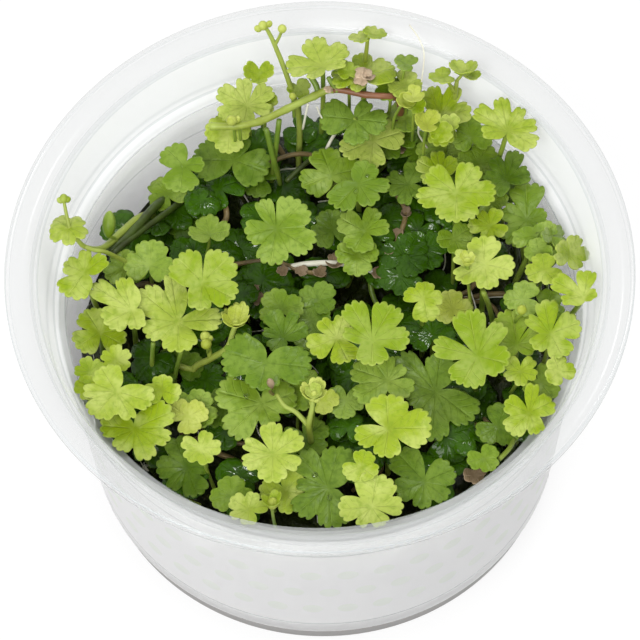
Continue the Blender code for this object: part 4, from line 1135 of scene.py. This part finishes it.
def wrap_finish(name):
    """White film: two thin grey rules, and rows of small pale green ovals round it, faintly grained."""
    g = Graph(name)
    place = g.nodes.new("ShaderNodeSeparateXYZ")
    g.links.new(g.nodes.new("ShaderNodeTexCoord").outputs["Object"], place.inputs[0])
    x, y, z = place.outputs
    turn = g.math("MULTIPLY", g.math("ARCTAN2", y, x), OVAL_COUNT / (2 * math.pi))
    row = g.math("DIVIDE", g.math("SUBTRACT", z, 0.012), 0.0075)
    shifted = g.math("ADD", turn, g.math("MULTIPLY", g.math("FLOOR", row), 0.5))
    along = g.math("SUBTRACT", g.math("FRACT", shifted), 0.5)
    up = g.math("SUBTRACT", g.math("FRACT", row), 0.5)
    reach = g.math("ADD", g.math("POWER", g.math("MULTIPLY", along, 3.4), 2.0),
                   g.math("POWER", g.math("MULTIPLY", up, 4.2), 2.0))
    inside = g.math("MULTIPLY", g.math("GREATER_THAN", z, 0.012), g.math("LESS_THAN", z, 0.0345))
    oval = g.math("MULTIPLY", g.math("SUBTRACT", 1.0, g.smooth(reach, 0.8, 1.1)), inside)
    colour = g.mix(g.math("MULTIPLY", oval, 0.5), (0.92, 0.925, 0.92), (0.72, 0.85, 0.64))
    for height in (0.0085, 0.0395):
        away = g.math("ABSOLUTE", g.math("SUBTRACT", z, height))
        colour = g.mix(g.math("LESS_THAN", away, 0.00025), colour, (0.5, 0.51, 0.51))
    grain = g.noise(700.0, 2.0)
    return g.set(
        Base_Color=colour,
        Roughness=0.32,
        Specular_IOR_Level=0.4,
        Subsurface_Weight=0.8,
        Subsurface_Radius=(1.0, 1.0, 1.0),
        Subsurface_Scale=0.004,
        Normal=g.bump(grain, 0.08, 0.0001),
    )


def gel_finish(name):
    """Growing gel: amber brown and cloudy, with darker wisps of root."""
    g = Graph(name)
    cloud = g.noise(90.0, 3.0)
    wisps = g.noise(500.0, 4.0, (1.0, 1.0, 0.4), shift=4.0)
    colour = g.mix(g.smooth(cloud, 0.35, 0.7), (0.20, 0.165, 0.105), (0.28, 0.24, 0.16))
    colour = g.mix(g.math("MULTIPLY", g.smooth(wisps, 0.55, 0.72), 0.5), colour, (0.10, 0.08, 0.045))
    return g.set(Base_Color=colour, Roughness=0.18, Specular_IOR_Level=0.5)


def drop_finish(name):
    """Water drop: clear, with the index of water."""
    g = Graph(name)
    return g.set(Base_Color=(1.0, 1.0, 1.0), Roughness=0.0, IOR=1.33, Transmission_Weight=1.0)


def floor_finish(name):
    """Studio sweep: nearly white, with the least tooth."""
    g = Graph(name)
    tooth = g.noise(60.0, 2.0)
    white = tuple(bpy.context.scene.pennywort_stage.floor)
    colour = g.mix(tooth, shade(white, 0.985), white)
    return g.set(
        Base_Color=colour,
        Roughness=0.85,
        Specular_IOR_Level=0.1,
        Emission_Color=(1.0, 1.0, 1.0),
        Emission_Strength=bpy.context.scene.pennywort_stage.glow,
    )


def leaf_maker(tone):
    """Maker of one tone's leaf finish, from that tone's three greens."""

    def make(name):
        looks = bpy.context.scene.pennywort_leaves
        body = tuple(getattr(looks, tone))
        return leaf_finish(name, body, *LEAF_LOOKS[tone])

    return make


# Leaf tones: their paler and their deeper green, their roughness and their gloss. Bright, mid and dark are lit and
# shaded copies of one leaf green, painted light and painted shade by how much light falls on each leaf; the wet
# tone's deep green is partly painted shade of the low leaves under the canopy, and its gloss is their wetness.
LEAF_LOOKS = {
    "bright": ((0.43, 0.50, 0.12), (0.14, 0.24, 0.002), 0.42, 0.2),
    "mid": ((0.27, 0.37, 0.065), (0.075, 0.15, 0.003), 0.36, 0.22),
    "dark": ((0.17, 0.26, 0.035), (0.035, 0.085, 0.003), 0.28, 0.15),
    "wet": ((0.05, 0.13, 0.006), (0.008, 0.03, 0.001), 0.09, 0.2),
    "pale": ((0.50, 0.56, 0.14), (0.27, 0.36, 0.01), 0.45, 0.2),
    "dead": ((0.58, 0.44, 0.31), (0.10, 0.065, 0.025), 0.6, 0.2),
}
# Packed slot whose finish stands for a tone that has no slot of its own.
SLOT_TONES = {"pale": "bright", "dead": "mid", "wet": "dark"}
STEM_LOOKS = {
    "green": ((0.24, 0.32, 0.04), (0.12, 0.20, 0.02)),
    "pale": ((0.31, 0.39, 0.07), (0.23, 0.28, 0.035)),
    "dark": ((0.06, 0.10, 0.012), (0.03, 0.04, 0.008)),
    "tan": ((0.26, 0.19, 0.08), (0.12, 0.085, 0.03)),
    "brown": ((0.26, 0.11, 0.05), (0.13, 0.055, 0.025)),
    "white": ((0.74, 0.73, 0.62), (0.56, 0.53, 0.40)),
}
MAKERS = {
    "growth_mat": mat_finish,
    "cup_plastic": plastic_finish,
    "cup_flange": lambda name: plastic_finish(name, 0.56, 0.28),
    "cup_wall": lambda name: plastic_finish(name, 0.95, 0.12),
    "cup_corner": corner_finish,
    "cup_foot": foot_finish,
    "wrap_film": wrap_finish,
    "growing_gel": gel_finish,
    "water_drop": drop_finish,
    "studio_floor": floor_finish,
    **{f"leaf_{tone}_fine": leaf_maker(tone) for tone in LEAF_LOOKS},
    **{f"stem_{look}": lambda name, look=look: stem_finish(name, *STEM_LOOKS[look]) for look in STEM_LOOKS},
}


def finish(name):
    """The named finish, made the first time that it is asked for."""
    return bpy.data.materials.get(name) or MAKERS[name](name)


class CupLooks(bpy.types.PropertyGroup):
    """Choices for the cup and its wrap."""

    sides: IntProperty(
        name="Sides", description="Steps round the turned pieces", default=TURN_SIDES, min=24, max=360
    )
    wrap: FloatProperty(
        name="Wrap Thickness",
        description="Thickness of the film round the cup",
        default=LABEL_THICKNESS * MM,
        unit="LENGTH",
        precision=5,
    )


class LeafLooks(bpy.types.PropertyGroup):
    """Choices for the leaves."""

    tooth: FloatProperty(
        name="Tooth Width",
        description="Width of one rounded tooth along a lobe's edge",
        default=1.5 * MM,
        unit="LENGTH",
        precision=5,
    )
    tooth_depth: FloatProperty(
        name="Tooth Depth",
        description="Depth of the notch between two teeth, as a share of the lobe's reach",
        default=0.085,
        subtype="FACTOR",
        min=0.0,
        max=0.3,
    )
    fold: FloatProperty(
        name="Lobe Rise",
        description="Height of a lobe over the cuts beside it, as a share of the leaf's reach",
        default=LOBE_FOLD,
        subtype="FACTOR",
        min=0.0,
        max=0.3,
    )
    blade: FloatProperty(
        name="Blade Thickness",
        description="Thickness of a leaf's blade at its middle",
        default=0.3 * MM,
        unit="LENGTH",
        precision=5,
    )
    stalk: FloatProperty(
        name="Stalk Radius",
        description="Radius of a grown leaf's stalk",
        default=0.46 * MM,
        unit="LENGTH",
        precision=5,
    )
    fillers: IntProperty(
        name="Low Leaves", description="Small dark leaves just above the mat", default=125, min=0, max=200
    )
    # The bright, middle and dark greens are lit and shaded copies of one leaf green: painted light and painted shade.
    bright: FloatVectorProperty(
        name="Bright Green",
        description="Green of the leaves in full light",
        default=(0.25, 0.345, 0.006),
        subtype="COLOR",
        min=0.0,
        max=1.0,
    )
    mid: FloatVectorProperty(
        name="Middle Green",
        description="Green of the half-shaded leaves",
        default=(0.155, 0.25, 0.010),
        subtype="COLOR",
        min=0.0,
        max=1.0,
    )
    dark: FloatVectorProperty(
        name="Dark Green",
        description="Green of the lowest leaves",
        default=(0.096, 0.175, 0.008),
        subtype="COLOR",
        min=0.0,
        max=1.0,
    )
    pale: FloatVectorProperty(
        name="Pale Green",
        description="Green of yellowing leaves and buds",
        default=(0.38, 0.44, 0.05),
        subtype="COLOR",
        min=0.0,
        max=1.0,
    )
    # The wet green's depth is partly painted shade of the low leaves under the canopy; their gloss is their wetness.
    wet: FloatVectorProperty(
        name="Wet Green",
        description="Deep green of the wet leaves just above the mat",
        default=(0.032, 0.092, 0.001),
        subtype="COLOR",
        min=0.0,
        max=1.0,
    )
    dead: FloatVectorProperty(
        name="Dead Leaf",
        description="Beige of dead leaves",
        default=(0.34, 0.25, 0.15),
        subtype="COLOR",
        min=0.0,
        max=1.0,
    )


class StemLooks(bpy.types.PropertyGroup):
    """Choices for the stems and roots."""

    creepers: IntProperty(
        name="Creeping Stems", description="Stems that lie on the mat", default=34, min=0, max=100
    )
    roots: IntProperty(name="Fine Roots", description="White roots in the tangle", default=40, min=0, max=100)
    runner: FloatProperty(
        name="Runner Radius",
        description="Radius of the thick stem across the back",
        default=0.62 * MM,
        unit="LENGTH",
        precision=5,
    )


class StageLooks(bpy.types.PropertyGroup):
    """Choices for the studio."""

    floor: FloatVectorProperty(
        name="Floor",
        description="Colour of the studio floor",
        default=(0.15, 0.15, 0.15),
        subtype="COLOR",
        min=0.0,
        max=1.0,
    )
    glow: FloatProperty(name="Floor Glow", description="Light that the floor gives off", default=0.83, min=0.0)
    sky: FloatProperty(name="Surround", description="Strength of the even white light", default=0.9, min=0.0)
    key: FloatProperty(
        name="Key Light", description="Power of the soft light overhead", default=3.2, min=0.0, unit="POWER"
    )


def choices(name):
    """The scene's choices for one group of pieces."""
    return getattr(bpy.context.scene, "pennywort_" + name)


class PENNYWORT_OT_cup(bpy.types.Operator):
    """Makes the clear cup, the film round it and the gel in it"""

    bl_idname = "pennywort.cup"
    bl_label = "Cup, Wrap and Gel"

    def execute(self, context):
        look = choices("cup")
        rings = turned(CUP_PROFILE, look.sides)
        low = np.array([0.0, 0.0, 0.0])
        floor = np.array([0.0, 0.0, CUP_PROFILE[-1][1]])
        materials = [finish("cup_" + part) for part in ("plastic", "corner", "foot", "flange", "wall")]
        cup = add_piece("pennywort_cup", [(skin(rings, low, floor), 0)], materials, "clear_plastic", "cup")
        bands = np.zeros(len(rings) - 1, np.int32)
        bands[list(CUP_CORNERS)] = 1
        bands[:CUP_FOOT] = 2
        bands[list(CUP_FLANGE)] = 3
        bands[list(CUP_WALL)] = 4
        fans = np.zeros(2 * look.sides, np.int32)
        cup.data.polygons.foreach_set("material_index", np.concatenate([fans, np.repeat(bands, look.sides)]))
        slope = (41.9 - BASE_RADIUS) / (46.6 - 0.8)
        low = BASE_RADIUS + slope * (WRAP_BOTTOM - 0.8) + GAP
        high = BASE_RADIUS + slope * (LABEL_TOP - 0.8) + GAP
        thick = look.wrap / MM
        share = np.linspace(0.0, 1.0, 12)
        inner = np.stack([low + (high - low) * share, WRAP_BOTTOM + (LABEL_TOP - WRAP_BOTTOM) * share], axis=1)
        profile = np.concatenate([inner, inner[::-1] + (thick, 0.0)])
        film = wrap(turned(profile, look.sides))
        add_piece("pennywort_wrap", [(film, 0)], [finish("wrap_film")], "label_film", "label")
        wall = inner_radius(GEL_TOP) - 0.6
        profile = [(37.0, 1.4), (37.4, 1.6), (inner_radius(3.0) - 0.6, 3.0), (wall, GEL_TOP - 0.6)]
        profile += [(wall - 0.2, GEL_TOP - 0.1), (wall - 0.8, GEL_TOP)]
        rings = turned(profile, look.sides)
        gel = skin(rings, np.array([0.0, 0.0, 1.4]), np.array([0.0, 0.0, GEL_TOP]))
        add_piece("pennywort_gel", [(gel, 0)], [finish("growing_gel")], "gel", "gel")
        return {"FINISHED"}


def mat_skin():
    """The mat: a wall up from the gel, then rings drawn in over a top of slow rolls, knots and small grit."""
    sides = 200
    low = GEL_TOP + GAP
    profile = []
    for z in (low, low + 4, low + 8, low + 12, low + 16, MAT_TOP - MAT_SHOULDER - 0.8):
        profile.append((inner_radius(z) - GAP - 0.35, z))
    wall = turned(profile, sides)
    rim = inner_radius(MAT_TOP) - 2 * GAP
    share = np.concatenate([[0.995], np.linspace(0.98, 0.02, 60)])[:, None]
    angle = -2 * np.pi * np.arange(sides)[None] / sides
    x = share * rim * np.cos(angle)
    y = share * rim * np.sin(angle)
    grit = 0.5 * np.sin(1.9 * x + 0.4 * y) * np.sin(2.3 * y - 0.5 * x)
    grit = grit + 0.3 * np.sin(4.1 * x - 1.3 * y + 2.0) * np.sin(3.7 * y + 0.9 * x)
    shoulder = MAT_SHOULDER * np.clip((share - 0.93) / 0.07, 0.0, 1.0) ** 2
    top = np.stack([x, y, mat_height(x, y) + grit - shoulder], axis=-1)
    side_shift = 0.25 * np.sin(9 * angle + 1.3 * wall[..., 2]) * np.sin(4 * angle)
    wall[..., 0] += (side_shift - 0.25) * np.cos(angle)
    wall[..., 1] += (side_shift - 0.25) * np.sin(angle)
    first = np.array([0.0, 0.0, low])
    last = np.array([0.0, 0.0, float(mat_height(0.0, 0.0))])
    return skin(np.concatenate([wall, top]), first, last)


def creeping_path(rng, reach, steps, lift_by):
    """A stem's path over the mat: a slowly turning walk from a chance place, a little above the mat."""
    start = rng.uniform(0, 2 * np.pi)
    place = np.sqrt(rng.uniform(0.0, 1.0)) * reach * np.array([np.cos(start), np.sin(start)])
    turns = np.cumsum(rng.normal(0.0, 0.45, steps)) + rng.uniform(0, 2 * np.pi)
    walk = place + np.cumsum(2.6 * np.stack([np.cos(turns), np.sin(turns)], axis=1), axis=0)
    out = np.linalg.norm(walk, axis=1, keepdims=True)
    walk = walk * np.minimum(1.0, reach / out)
    z = mat_height(walk[:, 0], walk[:, 1]) + lift_by + rng.uniform(-0.5, 1.2, steps)
    return curve_through(np.column_stack([walk, z]), 4)


class PENNYWORT_OT_mat(bpy.types.Operator):
    """Makes the root mat, with the stems and roots that creep over it"""

    bl_idname = "pennywort.mat"
    bl_label = "Root Mat and Tangle"

    def execute(self, context):
        look = choices("stems")
        rng = np.random.default_rng(SEED)
        add_piece("pennywort_root_mat", [(mat_skin(), 0)], [finish("growth_mat")], "root_mat", "root_mat")
        kinds = ("dark", "green", "tan", "pale")
        stems = []
        for n in range(look.creepers):
            path = creeping_path(rng, 37.0, rng.integers(5, 10), 0.7)
            radius = rng.uniform(0.3, 0.6)
            stems.append((tube(path, radius, 8, rng.uniform(-1, 1)), int(rng.choice(4, p=(0.4, 0.25, 0.25, 0.1)))))
        materials = [finish("stem_" + kind) for kind in kinds]
        add_piece("pennywort_creeping_stems", stems, materials, "stem")
        roots = []
        for n in range(look.roots):
            path = creeping_path(rng, 37.5, rng.integers(3, 7), 1.4)
            path[:, 2] += np.linspace(0.0, rng.uniform(0.0, 2.5), len(path))
            roots.append((tube(path, np.linspace(0.2, 0.06, len(path)) * rng.uniform(0.6, 1.2), 5), 0))
        add_piece("pennywort_fine_roots", roots, [finish("stem_white")], "stem")
        return {"FINISHED"}


class PENNYWORT_OT_leaves(bpy.types.Operator):
    """Makes the grown leaves, each on its own stalk"""

    bl_idname = "pennywort.leaves"
    bl_label = "Grown Leaves"

    def execute(self, context):
        look = choices("leaves")
        rng = np.random.default_rng(SEED + 1)
        for leaf in LEAVES:
            skins = leaf_skins(leaf, look, rng, packed_stalk(leaf), look.stalk / MM)
            # Some leaves take the finish of the next tone, as painted light and painted shade.
            tone = LOOKS_LIKE.get(leaf.name, leaf.tone)
            materials = [finish(f"leaf_{tone}_fine"), finish("stem_green")]
            add_piece("pennywort_" + leaf.name, skins, materials, "leaf_" + leaf.tone, leaf.name)
        return {"FINISHED"}


class PENNYWORT_OT_young_leaves(bpy.types.Operator):
    """Makes the young, half-hidden and low leaves, joined by their tone"""

    bl_idname = "pennywort.young_leaves"
    bl_label = "Young and Low Leaves"

    def execute(self, context):
        look = choices("leaves")
        rng = np.random.default_rng(SEED + 2)
        groups = {tone: [] for tone in LEAF_LOOKS}
        for across, back, z, reach, heading, count, lean, toward, rise, tone in SMALL_LEAVES:
            x, y, _ = lift(across, back, z)
            x, y = inside_wall(x, y, z, reach)
            lobes = plain_lobes(reach, heading, count, rng)
            leaf = Leaf("", x, y, z, lean, toward, rise, tone, lobes)
            groups[tone] += leaf_skins(leaf, look, rng, free_stalk(leaf, rng), 0.32, rings=YOUNG_RINGS)
        for n in range(look.fillers):
            turn, out = rng.uniform(0, 2 * np.pi), FILLER_REACH * np.sqrt(rng.uniform(0, 1))
            x, y = out * np.cos(turn), out * np.sin(turn)
            z = mat_height(x, y) + rng.uniform(2.5, 8.5)
            reach = rng.uniform(3.0, 5.4)
            x, y = inside_wall(x, y, z, reach)
            lobes = plain_lobes(reach, rng.uniform(0, 360), 3, rng)
            leaf = Leaf("", x, y, z, rng.uniform(0, 22), rng.uniform(0, 360), rng.uniform(-0.35, -0.05), "wet", lobes)
            form = {"rings": FILLER_RINGS, "steps": 4, "toothed": 0.5}
            groups["wet"] += leaf_skins(leaf, look, rng, free_stalk(leaf, rng, 2.0), 0.28, **form)
        for tone, skins in groups.items():
            if not skins:
                continue
            slot = "leaf_" + SLOT_TONES.get(tone, tone)
            materials = [finish(f"leaf_{tone}_fine"), finish("stem_green")]
            add_piece(f"pennywort_young_{tone}", skins, materials, slot)
        return {"FINISHED"}


class PENNYWORT_OT_stems(bpy.types.Operator):
    """Makes the runner across the back, and the loose stems between the leaves"""

    bl_idname = "pennywort.stems"
    bl_label = "Runner and Loose Stems"

    def execute(self, context):
        radius = choices("stems").runner / MM
        path = curve_through(RUNNER, 8)
        cut = RUNNER_DEAD * 8
        swell = 1 + 0.18 * np.exp(-((((np.arange(len(path)) / 8 + 0.5) % 1 - 0.5) / 0.12) ** 2))
        green = tube(path[: cut + 1], radius * swell[: cut + 1], 14)
        thin = np.interp(np.arange(len(path) - cut), (0, 12, 24, len(path) - cut), (0.9, 0.85, 1.0, 0.8))
        brown = tube(path[cut:], radius * (thin * swell[cut:])[: len(path) - cut], 14)
        add_piece("pennywort_runner", [(green, 0)], [finish("stem_pale")], "stem", "runner")
        add_piece("pennywort_runner_dead", [(brown, 0)], [finish("stem_brown")], "stem", "runner")
        groups = {}
        for points, thick, look in LOOSE_STEMS:
            path = curve_through([lift(*point) for point in points], 6)
            groups.setdefault(look, []).append((tube(path, thick, 8), 0))
        for look, skins in groups.items():
            add_piece(f"pennywort_stems_{look}", skins, [finish("stem_" + look)], "stem")
        return {"FINISHED"}


def bead(place, radius, height, lean=(0.0, 0.0, 1.0), sides=12, tint=0.0, steps=8):
    """Egg: circles along a short axis, each as wide as the root of 1 less the square of its place from the middle."""
    axis = unit(np.array(lean, float))
    u = np.cos(np.linspace(np.pi * 0.93, np.pi * 0.07, steps))
    path = np.asarray(place, float) + 0.5 * height * u[:, None] * axis
    return tube(path, radius * np.sqrt(1 - u**2), sides, tint)


def sprig_leaf(row, look, rng, stem_from=None, **form):
    """A young leaf on a sprig: place, heading, reach, lobes, lean, direction, rise; its stalk joins the sprig."""
    x, y, z, heading, reach, count, lean, toward, rise = row
    leaf = Leaf("", x, y, z, lean, toward, rise, "bright", plain_lobes(reach, heading, count, rng))
    blade, centre, normal = leaf_skin(leaf, look, rng.uniform(-0.2, 0.4), rng, **form)
    skins = [(blade, 0)]
    if stem_from is not None:
        start = centre - 0.9 * look.blade / MM * normal
        knee = (start + np.array(stem_from)) / 2 - (0.0, 0.0, 0.3)
        path = curve_through([start, knee, stem_from], 5)
        skins.append((tube(path, 0.3, 8), 1))
    return skins


class PENNYWORT_OT_sprigs(bpy.types.Operator):
    """Makes the six sprigs that stand up from the tangle, with their buds and young leaves"""

    bl_idname = "pennywort.sprigs"
    bl_label = "Sprigs"

    def execute(self, context):
        look = choices("leaves")
        rng = np.random.default_rng(SEED + 3)
        for name, tone, stems, beads, leaves in SPRIGS:
            skins = []
            for rows in stems:
                path = curve_through(rows, 6)
                skins.append((tube(path[:, :3], path[:, 3], 10), 1))
            for x, y, z, radius, height, *lean in beads:
                skins.append((bead((x, y, z), radius, height, lean, tint=rng.uniform(-0.2, 0.8)), 0))
            for *row, stem_from in leaves:
                skins += sprig_leaf(row, look, rng, stem_from, rings=YOUNG_RINGS)
            materials = [finish(f"leaf_{tone}_fine"), finish("stem_pale")]
            add_piece("pennywort_" + name, skins, materials, "stem", name)
        return {"FINISHED"}


class PENNYWORT_OT_details(bpy.types.Operator):
    """Makes the loose buds, the dead scraps and the water drops"""

    bl_idname = "pennywort.details"
    bl_label = "Buds, Scraps and Drops"

    def execute(self, context):
        look = choices("leaves")
        rng = np.random.default_rng(SEED + 4)
        groups = {}
        for across, back, z, radius, height, *lean, tone in BUDS:
            place = lift(across, back, z)
            skins = groups.setdefault(tone, [])
            skins.append((bead(place, radius, height, lean, 14, rng.uniform(-0.3, 0.6)), 0))
            root = place - 0.45 * height * unit(np.array(lean, float))
            foot = place * (0.97, 0.97, 0.0) + (0.0, 0.0, max(MAT_TOP, z - BUD_STALK))
            path = curve_through([root, (root + foot) / 2 + rng.uniform(-0.4, 0.4, 3), foot], 5)
            skins.append((tube(path, 0.28, 8), 1))
        for tone, skins in groups.items():
            slot = "leaf_" + SLOT_TONES.get(tone, tone)
            materials = [finish(f"leaf_{tone}_fine"), finish("stem_tan" if tone == "dead" else "stem_green")]
            add_piece(f"pennywort_buds_{tone}", skins, materials, slot)
        scraps = []
        for across, back, z, reach, lean, toward in SCRAPS:
            x, y, _ = lift(across, back, z)
            leaf = Leaf("", x, y, z, lean, toward, rng.uniform(-0.5, 0.7), "dead",
                        plain_lobes(reach, rng.uniform(0, 360), 3, rng))
            tint = 0.9 if z > CUP_HEIGHT - 2 else -0.9
            blade, _, _ = leaf_skin(leaf, look, tint + rng.uniform(-0.1, 0.1), rng, rings=FILLER_RINGS)
            scraps.append((blade, 0))
        add_piece("pennywort_scraps", scraps, [finish("leaf_dead_fine")], "stem")
        drops = []
        for across, back, z, wide in DROPS:
            drops.append((bead(lift(across, back, z), wide / 2, wide * 0.7, (0, 0.05, 1), 14), 0))
        add_piece("pennywort_drops", drops, [finish("water_drop")], "clear_plastic")
        return {"FINISHED"}


def add_light(name, place, aim, size, power):
    """A square area light at a place, turned to face another."""
    light = bpy.data.lights.new(name, "AREA")
    light.energy = power
    light.size = size
    lamp = bpy.data.objects.new(name, light)
    lamp.location = place
    lamp.rotation_euler = (Vector(aim) - Vector(place)).to_track_quat("-Z", "Y").to_euler()
    bpy.context.scene.collection.objects.link(lamp)
    return lamp


class PENNYWORT_OT_stage(bpy.types.Operator):
    """Makes the pale floor, the soft light and the camera at the photograph's angle"""

    bl_idname = "pennywort.stage"
    bl_label = "Stage"

    def execute(self, context):
        look = choices("stage")
        scene = context.scene
        share = np.linspace(-1.0, 1.0, 41)
        x, y = np.meshgrid(share * 1.6, share * 1.6, indexing="ij")
        places = np.stack([x, y, 0 * x - 0.0003], axis=-1).reshape(-1, 3)
        at = np.arange(41 * 41).reshape(41, 41)
        faces = np.stack([at[:-1, :-1], at[1:, :-1], at[1:, 1:], at[:-1, 1:]], axis=-1).reshape(-1, 4)
        mesh = bpy.data.meshes.new("studio_floor")
        mesh.from_pydata(places.tolist(), [], faces.tolist())
        mesh.materials.append(finish("studio_floor"))
        floor = bpy.data.objects.new("studio_floor", mesh)
        scene.collection.objects.link(floor)

        world = bpy.data.worlds.new("studio")
        world.use_nodes = True
        back = world.node_tree.nodes["Background"]
        back.inputs["Color"].default_value = (1.0, 1.0, 1.0, 1.0)
        back.inputs["Strength"].default_value = look.sky
        scene.world = world
        add_light("soft_front", (-0.22, -0.42, 0.55), (0.0, 0.0, 0.04), 0.4, look.key)
        add_light("glint", (0.16, 0.24, 0.6), (0.0, 0.0, 0.04), 0.07, look.key * 0.25)

        pitch, roll = math.radians(CAMERA_PITCH), math.radians(CAMERA_ROLL)
        ahead = Vector((0.0, math.cos(pitch), -math.sin(pitch)))
        up = Vector((0.0, math.sin(pitch), math.cos(pitch)))
        right = Vector((1.0, 0.0, 0.0))
        turned_right = math.cos(roll) * right + math.sin(roll) * up
        turned_up = math.cos(roll) * up - math.sin(roll) * right
        camera = bpy.data.cameras.new("camera")
        camera.lens = CAMERA_LENS
        camera.sensor_width = SENSOR_WIDTH
        camera.clip_start = 0.01
        camera.dof.use_dof = False
        eye = bpy.data.objects.new("camera", camera)
        turn = Matrix((turned_right, turned_up, -ahead)).transposed().to_4x4()
        place = Vector(CAMERA_AIM) * MM - ahead * CAMERA_DISTANCE * MM
        eye.matrix_world = Matrix.Translation(place) @ turn
        scene.collection.objects.link(eye)
        scene.camera = eye
        scene.view_settings.view_transform = "Standard"
        return {"FINISHED"}


class PENNYWORT_PT_panel(bpy.types.Panel):
    """Sizes and colours, and a button for each group of pieces"""

    bl_idname = "PENNYWORT_PT_panel"
    bl_label = "Potted Pennywort"
    bl_space_type = "VIEW_3D"
    bl_region_type = "UI"
    bl_category = "Pennywort"

    def draw(self, context):
        for group in GROUPS:
            box = self.layout.box()
            for name in GROUPS[group].__annotations__:
                box.prop(choices(group), name)
        for operator in OPERATORS:
            self.layout.operator(operator.bl_idname)


GROUPS = {"cup": CupLooks, "leaves": LeafLooks, "stems": StemLooks, "stage": StageLooks}
OPERATORS = (
    PENNYWORT_OT_cup,
    PENNYWORT_OT_mat,
    PENNYWORT_OT_leaves,
    PENNYWORT_OT_young_leaves,
    PENNYWORT_OT_stems,
    PENNYWORT_OT_sprigs,
    PENNYWORT_OT_details,
    PENNYWORT_OT_stage,
)


def register():
    for made in (*GROUPS.values(), *OPERATORS, PENNYWORT_PT_panel):
        bpy.utils.register_class(made)
    for name, group in GROUPS.items():
        setattr(bpy.types.Scene, "pennywort_" + name, PointerProperty(type=group))


def unregister():
    for name in GROUPS:
        delattr(bpy.types.Scene, "pennywort_" + name)
    for made in reversed((*GROUPS.values(), *OPERATORS, PENNYWORT_PT_panel)):
        bpy.utils.unregister_class(made)


def main():
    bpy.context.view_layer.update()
    register()
    bpy.ops.pennywort.cup()
    bpy.ops.pennywort.mat()
    bpy.ops.pennywort.leaves()
    bpy.ops.pennywort.young_leaves()
    bpy.ops.pennywort.stems()
    bpy.ops.pennywort.sprigs()
    bpy.ops.pennywort.details()
    bpy.ops.pennywort.stage()


if __name__ == "__main__":
    main()
